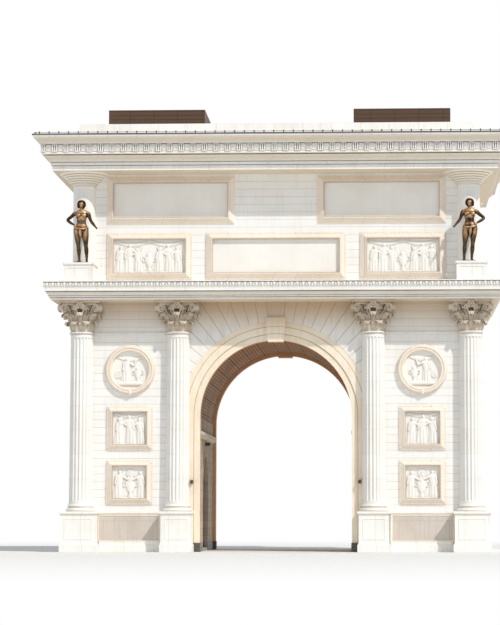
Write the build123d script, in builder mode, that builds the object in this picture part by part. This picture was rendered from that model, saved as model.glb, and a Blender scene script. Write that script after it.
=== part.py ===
from build123d import *
import os

# All sizes are in millimetres. The ground is at Z 0, the front faces -Y and the passage runs along Y.

# Plan of the walls
half_width = 9400
half_depth = 5300
wall_thickness = 550

# Passage and vault
opening_radius = 3700
passage_recess = 160
passage_wall_thickness = 180
springing_height = 6600
vault_thickness = 350

# Archivolt rings and their jambs
inner_band = 300
middle_band = 360
rim_band = 270
jamb_width = 1070
inner_band_recess = 45
rim_band_recess = 20

# Keystones
keystone_top = 11400
keystone_drop = 90
keystone_top_width = 1000
keystone_bottom_width = 760
keystone_relief = 200

# Doorways from the passage into the piers
doorway_width = 3000
doorway_springing = 3300
surround_width = 220
surround_relief = 20
floor_thickness = 150

# Dark plinths at the foot of the jambs and of the passage walls
plinth_height = 440
plinth_relief = 30

# Imposts on the passage walls, each half bed mould and half fillet
impost_bottom = 5600
impost_height = 300
impost_relief = 190
impost_bed_relief = 60

# Engaged columns: their axes stand outside the faces of the walls
column_offset = 100
shaft_bottom_radius = 575
shaft_top_radius = 550
flute_count = 20
flute_radius = 68
flute_depth = 38
flute_sides = 8
flute_end_margin = 190

# Levels of the order, from the ground up
pedestal_plinth_top = 440
pedestal_die_top = 1820
pedestal_top = 1960
base_top = 2270
shaft_top = 10680
entablature_bottom = 12180
entablature_top = 13060

# Pedestals
inner_die_half_width = 735
corner_die_half_width = 850
pedestal_edge = 70
die_panel_margin = 220
die_panel_depth = 25

# Column base mouldings
lower_torus_radius = 700
upper_torus_radius = 630
torus_height = 140

# Capitals: bell, abacus and scrolls
bell_bottom_radius = 500
bell_middle_radius = 530
bell_top_radius = 660
abacus_width = 2120
abacus_height = 280
abacus_hollow = 170
abacus_corner_cut = 80
volute_radius = 165
volute_thickness = 170
volute_drop = 130
volute_sides = 12

# Capitals: two rows of leaves, with the reach of their curled tips from the bell's foot
leaf_count = 8
leaf_width = 350
leaf_foot_width = 250
leaf_tip_width = 100
leaf_thickness = 60
lower_leaf_height = 460
lower_leaf_reach = 190
upper_leaf_height = 860
upper_leaf_reach = 420
leaf_tip_drop = 75

# Dados between the pedestals
dado_relief = 110
dado_edge = 45
dado_plinth_height = 340

# String courses between the columns
string_height = 110
string_relief = 90
string_clearance = 30

# Medallions and framed panels of the piers
medallion_height = 8850
medallion_outer_radius = 1240
medallion_inner_radius = 920
medallion_relief = 140
medallion_bevel = 70
medallion_field_relief = 47
pier_panel_width = 2290
pier_panel_rise = 2190
upper_pier_panel_z = 6005
lower_pier_panel_z = 3380
pier_frame_width = 270

# Frames of all panels: how far they stand out, the depth of their field and the slope of their inner edge
frame_relief = 110
field_depth = 77
frame_slope = 30

# Attic
attic_panel_frame_width = 350
attic_lower_panel_z = 14450
attic_lower_panel_rise = 2340
attic_upper_panel_z = 17220
attic_upper_panel_rise = 2390
centre_panel_width = 6900
side_panel_width = 4220
side_panel_margin = 1060
upper_panel_width = 6120
upper_panel_margin = 1150
attic_floor_thickness = 300

# Mouldings of the entablature: projections from the walls' faces, and heights
architrave_projection = 1480
architrave_height = 110
taenia_projection = 1560
taenia_height = 60
corona_projection = 1740
corona_bottom = 12560
corona_height = 230
leaf_band_projection = 1820
entablature_fillet = 40

# Drums at the attic's corners
drum_offset = 50
drum_radius = 550
drum_flare_radius = 1100
drum_flare_height = 570
drum_flare_steps = 3

# Mouldings of the great cornice, from its foot up
cornice_bottom = 18450
lower_fascia_projection = 1450
lower_fascia_height = 240
upper_fascia_projection = 1520
upper_fascia_height = 160
bed_mould_projection = 1830
bed_mould_height = 330
bed_fillet_projection = 1920
bed_fillet_height = 110
frieze_projection = 1850
frieze_height = 400
crown_foot_projection = 1980
crown_projection = 2300
crown_height = 320
crown_fillet_height = 90

# Parapet and roof
roof_thickness = 300
parapet_offset = 290
parapet_thickness = 250
parapet_height = 900
roof_box_margin = 720
roof_box_width = 4900
roof_box_depth = 4400
roof_box_height = 2230

# Statue pedestals
statue_pedestal_offset = 125
statue_pedestal_width = 1440
statue_pedestal_front = 1440
statue_pedestal_rear = 750
statue_pedestal_height = 940
statue_pedestal_edge = 50
statue_pedestal_cap = 100
statue_panel_margin = 160
statue_panel_depth = 25

# Statues: each is eight heads tall and stands before its drum
statue_height = 3130
statue_inset = 40
statue_setting = 1040
figure_sides = 8

# Lamps
jamb_lamp_x = 4080
jamb_lamp_height = 3320
passage_lamp_height = 5330
lamp_width = 260
lamp_height = 160
lamp_reach = 240

# Edge of the astragal ring on the shafts
band_edge = 55

# Small gap between curved faces that meet
fit = 0.3

# Worked out from the sizes above
inner_width = half_width - wall_thickness
inner_depth = half_depth - wall_thickness
passage_half = opening_radius + passage_recess
passage_wall_outer = passage_half + passage_wall_thickness
vault_outer_radius = passage_half + vault_thickness
ring_split_radius = opening_radius + inner_band
rim_split_radius = ring_split_radius + middle_band
ring_outer_radius = rim_split_radius + rim_band
jamb_outer = opening_radius + jamb_width
inner_column_x = jamb_outer
corner_column_x = half_width + column_offset
column_y = -half_depth - column_offset
pier_middle = (inner_column_x + corner_column_x) / 2
keystone_bottom = springing_height + opening_radius - keystone_drop
string_bottom = shaft_top - string_height
statue_x = half_width - statue_inset
statue_pedestal_x = half_width + statue_pedestal_offset
statue_pedestal_top = entablature_top + statue_pedestal_height

os.makedirs("parts", exist_ok=True)


def save(piece, name):
    piece.part.label = name
    export_step(piece.part, f"parts/{name}.step")


def box_between(low, high):
    """Adds a box with the given low and high corners to the piece being built."""
    with BuildSketch(Plane.XY.offset(low[2])) as footprint:
        with Locations(((low[0] + high[0]) / 2, (low[1] + high[1]) / 2)):
            Rectangle(high[0] - low[0], high[1] - low[1])
    extrude(footprint.sketch, amount=high[2] - low[2])


def cut_wall_room(bottom, top):
    """Cuts away what stands inside the left front walls, so that a piece engages with their faces."""
    with BuildSketch(Plane.XY.offset(bottom)) as room:
        with Locations((-half_width / 2, -half_depth / 2)):
            Rectangle(half_width, half_depth)
    extrude(room.sketch, amount=top - bottom, mode=Mode.SUBTRACT)


def save_mirrored(piece, name, mirror_plane):
    with BuildPart() as other:
        mirror(piece.part, about=mirror_plane)
    save(other, name)


# Pier walls, with the left and the right one of each in one node
with BuildPart() as front_pier_walls:
    box_between((-half_width, -half_depth, 0), (-jamb_outer, -inner_depth, entablature_bottom))
    mirror(about=Plane.YZ)
save(front_pier_walls, "front_pier_walls")
save_mirrored(front_pier_walls, "rear_pier_walls", Plane.XZ)

with BuildPart() as flank_walls:
    box_between((-half_width, -inner_depth, 0), (-inner_width, inner_depth, entablature_bottom))
    mirror(about=Plane.YZ)
save(flank_walls, "flank_walls")

# Passage walls with their arched doorways
with BuildPart() as passage_walls:
    box_between((-passage_wall_outer, -inner_depth, 0), (-passage_half, inner_depth, springing_height))
    with BuildSketch(Plane.YZ.offset(-passage_wall_outer)):
        with Locations((0, doorway_springing)):
            Circle(doorway_width / 2)
        with Locations((0, (floor_thickness + doorway_springing) / 2)):
            Rectangle(doorway_width, doorway_springing - floor_thickness)
    extrude(amount=passage_wall_thickness, mode=Mode.SUBTRACT)
    mirror(about=Plane.YZ)
save(passage_walls, "passage_walls")

# Barrel vault on the passage walls
with BuildPart() as barrel_vault:
    with BuildSketch(Plane.XZ.offset(-inner_depth)):
        with Locations((0, springing_height)):
            Circle(vault_outer_radius)
            Circle(passage_half, mode=Mode.SUBTRACT)
        with Locations((0, springing_height - vault_outer_radius)):
            Rectangle(2 * vault_outer_radius, 2 * vault_outer_radius, mode=Mode.SUBTRACT)
    extrude(amount=2 * inner_depth)
save(barrel_vault, "barrel_vault")


def keystone_profile():
    """The tapered face of a keystone, wider at the top."""
    with BuildLine() as outline:
        Polyline(
            (-keystone_bottom_width / 2, keystone_bottom),
            (keystone_bottom_width / 2, keystone_bottom),
            (keystone_top_width / 2, keystone_top),
            (-keystone_top_width / 2, keystone_top),
            close=True,
        )
    make_face(outline.edges())


def ring_band(inner, outer, recess, outer_jamb):
    """One band of the archivolt with its jambs, set back from the wall's face by its recess."""
    with BuildSketch(Plane.XZ.offset(inner_depth)) as band:
        with Locations((0, springing_height)):
            Circle(outer)
        with Locations((0, (plinth_height + springing_height) / 2)):
            Rectangle(2 * outer_jamb, springing_height - plinth_height)
        with Locations((0, springing_height)):
            Circle(inner, mode=Mode.SUBTRACT)
        with Locations((0, springing_height / 2)):
            Rectangle(2 * inner, springing_height, mode=Mode.SUBTRACT)
        with Locations((0, springing_height - outer / 2)):
            Rectangle(2 * inner, outer, mode=Mode.SUBTRACT)
    extrude(band.sketch, amount=wall_thickness - recess)


# Archivolts: an inner band, a middle band and a rim over the opening, carried down as jambs
with BuildPart() as front_archivolt:
    ring_band(opening_radius, ring_split_radius, inner_band_recess, ring_split_radius)
    ring_band(ring_split_radius, rim_split_radius, 0, rim_split_radius)
    ring_band(rim_split_radius, ring_outer_radius, rim_band_recess, jamb_outer)
    with BuildSketch(Plane.XZ.offset(inner_depth)):
        keystone_profile()
    extrude(amount=wall_thickness, mode=Mode.SUBTRACT)
save(front_archivolt, "front_archivolt")
save_mirrored(front_archivolt, "rear_archivolt", Plane.XZ)

with BuildPart() as keystones:
    with BuildSketch(Plane.XZ.offset(inner_depth)):
        keystone_profile()
    extrude(amount=wall_thickness + keystone_relief)
    mirror(about=Plane.XZ)
save(keystones, "keystones")

# Walls over the opening, between the inner columns
with BuildPart() as front_arch_wall:
    box_between((-jamb_outer, -half_depth, springing_height), (jamb_outer, -inner_depth, entablature_bottom))
    with BuildSketch(Plane.XZ.offset(inner_depth)):
        with Locations((0, springing_height)):
            Circle(ring_outer_radius + fit)
        keystone_profile()
    extrude(amount=wall_thickness, mode=Mode.SUBTRACT)
save(front_arch_wall, "front_arch_wall")
save_mirrored(front_arch_wall, "rear_arch_wall", Plane.XZ)

# Plinths: a block under each jamb with a skirting along the passage wall as far as the doorway
with BuildPart() as passage_plinths:
    box_between(
        (-jamb_outer, -half_depth, 0),
        (-opening_radius + plinth_relief, -inner_depth, plinth_height),
    )
    box_between(
        (-inner_column_x + inner_die_half_width + pedestal_edge, -half_depth - plinth_relief, 0),
        (-opening_radius + plinth_relief, -half_depth, plinth_height),
    )
    box_between(
        (-passage_half, -inner_depth, 0),
        (-passage_half + plinth_relief, -doorway_width / 2 - surround_width, plinth_height),
    )
    mirror(about=Plane.YZ)
    mirror(about=Plane.XZ)
save(passage_plinths, "passage_plinths")

# Doorway surrounds: a flat band round each arched doorway
with BuildPart() as doorway_surrounds:
    with BuildSketch(Plane.YZ.offset(-passage_half)):
        with Locations((0, doorway_springing)):
            Circle(doorway_width / 2 + surround_width)
            Circle(doorway_width / 2, mode=Mode.SUBTRACT)
        with Locations((0, doorway_springing / 2)):
            Rectangle(doorway_width + 2 * surround_width, doorway_springing)
            Rectangle(doorway_width, doorway_springing, mode=Mode.SUBTRACT)
        with Locations((0, doorway_springing)):
            Circle(doorway_width / 2, mode=Mode.SUBTRACT)
    extrude(amount=surround_relief)
    mirror(about=Plane.YZ)
save(doorway_surrounds, "doorway_surrounds")

# Imposts: a moulding along each passage wall below the springing
with BuildPart() as passage_imposts:
    with BuildSketch(Plane.XZ.offset(-inner_depth)):
        with BuildLine():
            Polyline(
                (-passage_half, impost_bottom),
                (-passage_half + impost_bed_relief, impost_bottom),
                (-passage_half + impost_relief, impost_bottom + impost_height / 2),
                (-passage_half + impost_relief, impost_bottom + impost_height),
                (-passage_half, impost_bottom + impost_height),
                close=True,
            )
        make_face()
    extrude(amount=2 * inner_depth)
    mirror(about=Plane.YZ)
save(passage_imposts, "passage_imposts")

# Ground floors of the piers
with BuildPart() as pier_floors:
    box_between((-inner_width, -inner_depth, 0), (-passage_wall_outer, inner_depth, floor_thickness))
    mirror(about=Plane.YZ)
save(pier_floors, "pier_floors")


def tier(x, half, bottom, height, spread, taper=0):
    """One level of a pedestal round a column's axis, standing out past the die by its spread."""
    with BuildSketch(Plane.XY.offset(bottom)) as level:
        with Locations((x, column_y)):
            Rectangle(2 * (half + spread), 2 * (corner_die_half_width + spread))
    extrude(level.sketch, amount=height, taper=taper)


def pedestal(x, half):
    """A pedestal: plinth, die and a cap that spreads at 45 degrees to its edge."""
    tier(x, half, 0, pedestal_plinth_top, pedestal_edge)
    tier(x, half, pedestal_plinth_top, pedestal_die_top - pedestal_plinth_top, 0)
    tier(x, half, pedestal_die_top, pedestal_edge, 0, taper=-45)
    cap_bottom = pedestal_die_top + pedestal_edge
    tier(x, half, cap_bottom, pedestal_top - cap_bottom, pedestal_edge)


def sunk_panel(plane, half):
    """Sinks a panel into a face of a pedestal's die."""
    rise = pedestal_die_top - pedestal_plinth_top - 2 * die_panel_margin
    with BuildSketch(plane) as panel:
        Rectangle(2 * (half - die_panel_margin), rise)
    extrude(panel.sketch, amount=-die_panel_depth, mode=Mode.SUBTRACT)


# Pedestals: the corner ones turn round the corner of the walls
die_middle = (pedestal_plinth_top + pedestal_die_top) / 2
die_front = column_y - corner_die_half_width
with BuildPart() as pedestals:
    pedestal(-inner_column_x, inner_die_half_width)
    pedestal(-corner_column_x, corner_die_half_width)
    for x, half in ((-inner_column_x, inner_die_half_width), (-corner_column_x, corner_die_half_width)):
        sunk_panel(Plane((x, die_front, die_middle), x_dir=(1, 0, 0), z_dir=(0, -1, 0)), half)
    flank_face = (-corner_column_x - corner_die_half_width, column_y, die_middle)
    sunk_panel(Plane(flank_face, x_dir=(0, -1, 0), z_dir=(-1, 0, 0)), corner_die_half_width)
    cut_wall_room(0, pedestal_top)
    mirror(about=Plane.YZ)
    mirror(about=Plane.XZ)
save(pedestals, "pedestals")

# Column bases: a wide and a narrow torus with a groove between, each torus in two bands
torus_bevel = torus_height / 2
with BuildPart() as column_base:
    lower_top = pedestal_top + torus_height
    upper_bottom = base_top - torus_height
    with BuildSketch(Plane.XZ):
        with BuildLine():
            Polyline(
                (0, pedestal_top),
                (lower_torus_radius, pedestal_top),
                (lower_torus_radius, pedestal_top + torus_bevel),
                (lower_torus_radius - torus_bevel, lower_top),
                (upper_torus_radius - torus_bevel, upper_bottom),
                (upper_torus_radius, base_top - torus_bevel),
                (upper_torus_radius, base_top),
                (0, base_top),
                close=True,
            )
        make_face()
    revolve(axis=Axis.Z)

with BuildPart() as column_bases:
    with Locations((-inner_column_x, column_y), (-corner_column_x, column_y)):
        add(column_base.part)
    cut_wall_room(pedestal_top, base_top)
    mirror(about=Plane.YZ)
    mirror(about=Plane.XZ)
save(column_bases, "column_bases")

# Fluted shafts: they taper and end in an astragal ring, with plain bands above and below the flutes
astragal_radius = shaft_top_radius + band_edge
flute_bottom = base_top + flute_end_margin
flute_top = string_bottom - flute_end_margin


def shaft_radius(height):
    """The radius of the tapering shaft at a height."""
    share = (height - base_top) / (string_bottom - base_top)
    return shaft_bottom_radius + share * (shaft_top_radius - shaft_bottom_radius)


def fluted_section(height):
    """The section of the shaft at a height: a circle with a part of an octagon cut out for each flute."""
    radius = shaft_radius(height)
    shrinkage = radius / shaft_bottom_radius
    flute_centre = radius + shrinkage * (flute_radius - flute_depth)
    with BuildSketch(Plane.XY.offset(height)) as section:
        Circle(radius)
        with PolarLocations(flute_centre, flute_count, start_angle=180 / flute_count):
            RegularPolygon(
                shrinkage * flute_radius,
                flute_sides,
                major_radius=False,
                rotation=180 / flute_sides,
                mode=Mode.SUBTRACT,
            )
    return section.sketch


def plain_band(bottom, top, bottom_radius, top_radius):
    """A plain turned length of the shaft."""
    with BuildSketch(Plane.XZ) as outline:
        with BuildLine() as edge:
            Polyline((0, bottom), (bottom_radius, bottom), (top_radius, top), (0, top), close=True)
        make_face(edge.edges())
    revolve(outline.sketch, axis=Axis.Z)


with BuildPart() as fluted_shaft:
    plain_band(base_top, flute_bottom, shaft_bottom_radius, shaft_radius(flute_bottom))
    loft([fluted_section(flute_bottom), fluted_section(flute_top)], ruled=True)
    plain_band(flute_top, string_bottom, shaft_radius(flute_top), shaft_top_radius)
    plain_band(string_bottom, shaft_top, astragal_radius, astragal_radius)

with BuildPart() as column_shafts:
    with Locations((-inner_column_x, column_y), (-corner_column_x, column_y)):
        add(fluted_shaft.part)
    cut_wall_room(base_top, shaft_top)
    mirror(about=Plane.YZ)
    mirror(about=Plane.XZ)
save(column_shafts, "column_shafts")

# Corinthian capitals: a flared bell with two rows of leaves, corner scrolls and a hollow-sided abacus
bell_top = entablature_bottom - abacus_height


def leaf(height, reach, turn):
    """One acanthus leaf: a tongue that stands on the bell and curls over."""
    curl_foot = shaft_top + height - 2 * leaf_tip_drop
    with BuildPart(mode=Mode.PRIVATE) as tongue:
        with BuildSketch(Plane.XZ.offset(-leaf_width / 2)):
            with BuildLine():
                Polyline(
                    (bell_bottom_radius - leaf_thickness / 2, shaft_top),
                    (bell_bottom_radius + leaf_thickness, shaft_top),
                    (bell_middle_radius + leaf_thickness, curl_foot - leaf_tip_drop),
                    (bell_bottom_radius + reach, shaft_top + height - leaf_tip_drop),
                    (bell_bottom_radius + reach - leaf_thickness, shaft_top + height),
                    (bell_middle_radius, curl_foot),
                    close=True,
                )
            make_face()
        extrude(amount=leaf_width)
        with BuildSketch(Plane.YZ):
            with BuildLine():
                Polyline(
                    (-leaf_foot_width / 2, shaft_top),
                    (leaf_foot_width / 2, shaft_top),
                    (leaf_width / 2, shaft_top + height / 2),
                    (leaf_tip_width / 2, shaft_top + height),
                    (-leaf_tip_width / 2, shaft_top + height),
                    (-leaf_width / 2, shaft_top + height / 2),
                    close=True,
                )
            make_face()
        extrude(amount=abacus_width, mode=Mode.INTERSECT)
    add(tongue.part.rotate(Axis.Z, turn))


def bell_section(height, radius):
    """A level section of the bell, with a flat behind each leaf."""
    with BuildSketch(Plane.XY.offset(height)) as section:
        RegularPolygon(radius, 2 * leaf_count, major_radius=False, rotation=90 / leaf_count)
    return section.sketch


with BuildPart() as capital:
    sections = (
        bell_section(shaft_top, bell_bottom_radius),
        bell_section((shaft_top + bell_top) / 2, bell_middle_radius),
        bell_section(bell_top, bell_top_radius),
    )
    loft(sections, ruled=True)
    for number in range(leaf_count):
        leaf(lower_leaf_height, lower_leaf_reach, 360 * number / leaf_count)
        leaf(upper_leaf_height, upper_leaf_reach, 360 * (number + 0.5) / leaf_count)
    with BuildSketch(Plane.XY.offset(bell_top)):
        Rectangle(abacus_width, abacus_width)
        hollow_radius = (abacus_width**2 / 4 + abacus_hollow**2) / (2 * abacus_hollow)
        with PolarLocations(abacus_width / 2 + hollow_radius - abacus_hollow, 4):
            Circle(hollow_radius, mode=Mode.SUBTRACT)
        chamfer(vertices(), length=abacus_corner_cut)
    extrude(amount=abacus_height)
    scroll_reach = abacus_width / 2**0.5 - 2 * volute_radius
    for number in range(4):
        corner = Plane.XY.rotated((0, 0, 45 + 90 * number))
        middle = corner.from_local_coords((scroll_reach, 0, bell_top - volute_drop))
        with BuildSketch(Plane(middle, z_dir=corner.y_dir)):
            RegularPolygon(volute_radius, volute_sides)
        extrude(amount=volute_thickness / 2, both=True)

with BuildPart() as capitals:
    with Locations((-inner_column_x, column_y), (-corner_column_x, column_y)):
        add(capital.part)
    cut_wall_room(shaft_top, entablature_bottom)
    mirror(about=Plane.YZ)
    mirror(about=Plane.XZ)
save(capitals, "capitals")

# Dados between the pedestals: a plinth, a plain field and a cap
dado_left = -corner_column_x + corner_die_half_width + pedestal_edge
dado_right = -inner_column_x - inner_die_half_width - pedestal_edge
with BuildPart() as dados:
    with BuildSketch(Plane.YZ.offset(dado_left)):
        with BuildLine():
            Polyline(
                (-half_depth, 0),
                (-half_depth - dado_relief - dado_edge, 0),
                (-half_depth - dado_relief - dado_edge, dado_plinth_height),
                (-half_depth - dado_relief, dado_plinth_height + dado_edge),
                (-half_depth - dado_relief, pedestal_die_top),
                (-half_depth - dado_relief - dado_edge, pedestal_die_top + dado_edge),
                (-half_depth - dado_relief - dado_edge, pedestal_top),
                (-half_depth, pedestal_top),
                close=True,
            )
        make_face()
    extrude(amount=dado_right - dado_left)
    mirror(about=Plane.YZ)
    mirror(about=Plane.XZ)
save(dados, "dados")

# String courses between the columns, level with the astragals
string_reach = astragal_radius + string_clearance
with BuildPart() as string_courses:
    box_between(
        (-corner_column_x + string_reach, -half_depth - string_relief, string_bottom),
        (-inner_column_x - string_reach, -half_depth, string_bottom + string_height),
    )
    mirror(about=Plane.YZ)
    mirror(about=Plane.XZ)
save(string_courses, "string_courses")

# Medallions: a moulded ring round a low disc
with BuildPart() as medallions:
    with BuildSketch(Plane.XZ.offset(half_depth)):
        with Locations((-pier_middle, medallion_height)):
            Circle(medallion_outer_radius)
    extrude(amount=medallion_relief)
    chamfer(edges().group_by(Axis.Y)[0], length=medallion_bevel)
    with BuildSketch(Plane.XZ.offset(half_depth + medallion_field_relief)):
        with Locations((-pier_middle, medallion_height)):
            Circle(medallion_inner_radius)
    extrude(amount=medallion_relief, mode=Mode.SUBTRACT)
    mirror(about=Plane.YZ)
    mirror(about=Plane.XZ)
save(medallions, "medallions")


def framed_panel(x, z, width, rise, border):
    """A framed panel on the front wall: a border that slopes to a sunk field."""
    with BuildSketch(Plane.XZ.offset(half_depth)) as frame:
        with Locations((x, z)):
            Rectangle(width, rise)
    extrude(frame.sketch, amount=frame_relief)
    with BuildSketch(Plane.XZ.offset(half_depth + frame_relief)) as field:
        with Locations((x, z)):
            Rectangle(width - 2 * border, rise - 2 * border)
    extrude(field.sketch, amount=-field_depth, taper=frame_slope, mode=Mode.SUBTRACT)


with BuildPart() as pier_panels:
    for z in (upper_pier_panel_z, lower_pier_panel_z):
        framed_panel(-pier_middle, z, pier_panel_width, pier_panel_rise, pier_frame_width)
    mirror(about=Plane.YZ)
    mirror(about=Plane.XZ)
save(pier_panels, "pier_panels")


def ring_profile(points):
    """A profile of the band that runs round the walls, as projections from the wall's face and heights."""
    with BuildLine() as outline:
        Polyline(*points, close=True)
    make_face(outline.edges())


def long_side(points):
    """The front side of a band with the given profile, mitred at both corners of the walls."""
    profile_plane = Plane((0, -half_depth, 0), x_dir=(0, -1, 0), z_dir=(-1, 0, 0))
    with BuildSketch(profile_plane) as section:
        ring_profile(points)
    extrude(section.sketch, amount=half_width + crown_projection, both=True)
    split(bisect_by=Plane((-half_width, -half_depth, 0), z_dir=(1, -1, 0)), keep=Keep.TOP)
    split(bisect_by=Plane((half_width, -half_depth, 0), z_dir=(-1, -1, 0)), keep=Keep.TOP)


def short_side(points):
    """The left side of the same band, mitred to meet the front and the rear."""
    profile_plane = Plane((-half_width, 0, 0), x_dir=(-1, 0, 0), z_dir=(0, 1, 0))
    with BuildSketch(profile_plane) as section:
        ring_profile(points)
    extrude(section.sketch, amount=half_depth + crown_projection, both=True)
    split(bisect_by=Plane((-half_width, -half_depth, 0), z_dir=(-1, 1, 0)), keep=Keep.TOP)
    split(bisect_by=Plane((-half_width, half_depth, 0), z_dir=(-1, -1, 0)), keep=Keep.TOP)


def save_ring(points, name):
    with BuildPart() as front_side:
        long_side(points)
    save(front_side, f"front_{name}")
    save_mirrored(front_side, f"rear_{name}", Plane.XZ)
    with BuildPart() as left_side:
        short_side(points)
    save(left_side, f"left_{name}")
    save_mirrored(left_side, f"right_{name}", Plane.YZ)


# Entablature over the capitals: architrave, taenia, cove, corona and a leaf band under its top fillet
architrave_top = entablature_bottom + architrave_height
taenia_top = architrave_top + taenia_height
corona_top = corona_bottom + corona_height
save_ring(
    (
        (-wall_thickness, entablature_bottom),
        (architrave_projection, entablature_bottom),
        (architrave_projection, architrave_top),
        (taenia_projection, architrave_top),
        (taenia_projection, taenia_top),
        (corona_projection, corona_bottom),
        (corona_projection, corona_top),
        (leaf_band_projection, entablature_top - entablature_fillet),
        (leaf_band_projection, entablature_top),
        (-wall_thickness, entablature_top),
    ),
    "entablature",
)

# Attic walls and the floor between the entablature's sides
with BuildPart() as front_attic_wall:
    box_between((-half_width, -half_depth, entablature_top), (half_width, -inner_depth, cornice_bottom))
save(front_attic_wall, "front_attic_wall")
save_mirrored(front_attic_wall, "rear_attic_wall", Plane.XZ)

with BuildPart() as left_attic_wall:
    box_between((-half_width, -inner_depth, entablature_top), (-inner_width, inner_depth, cornice_bottom))
save(left_attic_wall, "left_attic_wall")
save_mirrored(left_attic_wall, "right_attic_wall", Plane.YZ)

with BuildPart() as attic_floor:
    box_between(
        (-inner_width, -inner_depth, entablature_top - attic_floor_thickness),
        (inner_width, inner_depth, entablature_top),
    )
save(attic_floor, "attic_floor")

# Statue pedestals in front of the attic's corners, turning round them to the flanks
statue_panel_z = (entablature_top + statue_pedestal_top - statue_pedestal_cap) / 2
statue_panel_rise = statue_pedestal_height - statue_pedestal_cap - 2 * statue_panel_margin
with BuildPart() as statue_pedestals:
    box_between(
        (
            -statue_pedestal_x - statue_pedestal_width / 2,
            -half_depth - statue_pedestal_front,
            entablature_top,
        ),
        (
            -statue_pedestal_x + statue_pedestal_width / 2,
            -half_depth + statue_pedestal_rear,
            statue_pedestal_top,
        ),
    )
    box_between(
        (
            -statue_pedestal_x - statue_pedestal_width / 2 - statue_pedestal_edge,
            -half_depth - statue_pedestal_front - statue_pedestal_edge,
            statue_pedestal_top - statue_pedestal_cap,
        ),
        (
            -statue_pedestal_x + statue_pedestal_width / 2 + statue_pedestal_edge,
            -half_depth + statue_pedestal_rear + statue_pedestal_edge,
            statue_pedestal_top,
        ),
    )
    with BuildSketch(Plane.XZ.offset(half_depth + statue_pedestal_front)) as panel:
        with Locations((-statue_pedestal_x, statue_panel_z)):
            Rectangle(statue_pedestal_width - 2 * statue_panel_margin, statue_panel_rise)
    extrude(panel.sketch, amount=-statue_panel_depth, mode=Mode.SUBTRACT)
    cut_wall_room(entablature_top, statue_pedestal_top)
    mirror(about=Plane.YZ)
    mirror(about=Plane.XZ)
save(statue_pedestals, "statue_pedestals")

# Drums at the attic's corners, flaring in steps under the cornice
flare_ledge = (drum_flare_radius - drum_radius) / (2 * drum_flare_steps)
flare_rise = drum_flare_height / drum_flare_steps
flare = []
for step in range(drum_flare_steps):
    foot = cornice_bottom - drum_flare_height + step * flare_rise
    flare.append((drum_radius + (2 * step + 1) * flare_ledge, foot))
    flare.append((drum_radius + (2 * step + 2) * flare_ledge, foot + flare_rise))
with BuildPart() as corner_drums:
    with BuildSketch(Plane.XZ):
        with BuildLine():
            Polyline(
                (0, statue_pedestal_top),
                (drum_radius, statue_pedestal_top),
                (drum_radius, cornice_bottom - drum_flare_height),
                *flare,
                (0, cornice_bottom),
                close=True,
            )
        make_face()
    revolve(axis=Axis.Z)
    drum_place = Location((-half_width - drum_offset, -half_depth - drum_offset, 0))
    moved = corner_drums.part.moved(drum_place)
    add(moved, mode=Mode.REPLACE)
    cut_wall_room(statue_pedestal_top, cornice_bottom)
    mirror(about=Plane.YZ)
    mirror(about=Plane.XZ)
save(corner_drums, "corner_drums")

# Framed panels of the attic: three below and two above
side_panel_x = half_width - side_panel_margin - side_panel_width / 2
upper_panel_x = half_width - upper_panel_margin - upper_panel_width / 2
with BuildPart() as attic_panels:
    framed_panel(
        -side_panel_x,
        attic_lower_panel_z,
        side_panel_width,
        attic_lower_panel_rise,
        attic_panel_frame_width,
    )
    framed_panel(
        -upper_panel_x,
        attic_upper_panel_z,
        upper_panel_width,
        attic_upper_panel_rise,
        attic_panel_frame_width,
    )
    mirror(about=Plane.YZ)
    framed_panel(0, attic_lower_panel_z, centre_panel_width, attic_lower_panel_rise, attic_panel_frame_width)
    mirror(about=Plane.XZ)
save(attic_panels, "attic_panels")

# Great cornice over the attic: two fascias, bed mould and fillet, a frieze, and the crown with its fillet
lower_fascia_top = cornice_bottom + lower_fascia_height
upper_fascia_top = lower_fascia_top + upper_fascia_height
bed_mould_top = upper_fascia_top + bed_mould_height
bed_fillet_top = bed_mould_top + bed_fillet_height
frieze_top = bed_fillet_top + frieze_height
crown_top = frieze_top + crown_height
cornice_top = crown_top + crown_fillet_height
save_ring(
    (
        (-wall_thickness, cornice_bottom),
        (lower_fascia_projection, cornice_bottom),
        (lower_fascia_projection, lower_fascia_top),
        (upper_fascia_projection, lower_fascia_top),
        (upper_fascia_projection, upper_fascia_top),
        (bed_mould_projection, bed_mould_top),
        (bed_fillet_projection, bed_mould_top),
        (bed_fillet_projection, bed_fillet_top),
        (frieze_projection, bed_fillet_top),
        (frieze_projection, frieze_top),
        (crown_foot_projection, frieze_top),
        (crown_projection, crown_top),
        (crown_projection, cornice_top),
        (-wall_thickness, cornice_top),
    ),
    "cornice",
)

# Roof deck inside the cornice
with BuildPart() as roof_deck:
    box_between(
        (-inner_width, -inner_depth, cornice_top - roof_thickness),
        (inner_width, inner_depth, cornice_top),
    )
save(roof_deck, "roof_deck")

# Parapets
parapet_x = half_width + parapet_offset
parapet_y = half_depth + parapet_offset
parapet_top = cornice_top + parapet_height
with BuildPart() as long_parapets:
    box_between(
        (-parapet_x, -parapet_y, cornice_top),
        (parapet_x, -parapet_y + parapet_thickness, parapet_top),
    )
    mirror(about=Plane.XZ)
save(long_parapets, "long_parapets")

with BuildPart() as side_parapets:
    box_between(
        (-parapet_x, -parapet_y + parapet_thickness, cornice_top),
        (-parapet_x + parapet_thickness, parapet_y - parapet_thickness, parapet_top),
    )
    mirror(about=Plane.YZ)
save(side_parapets, "side_parapets")

# Clad boxes on the roof
with BuildPart() as roof_boxes:
    box_between(
        (-half_width + roof_box_margin, -roof_box_depth / 2, cornice_top),
        (-half_width + roof_box_margin + roof_box_width, roof_box_depth / 2, cornice_top + roof_box_height),
    )
    mirror(about=Plane.YZ)
save(roof_boxes, "roof_boxes")

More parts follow.
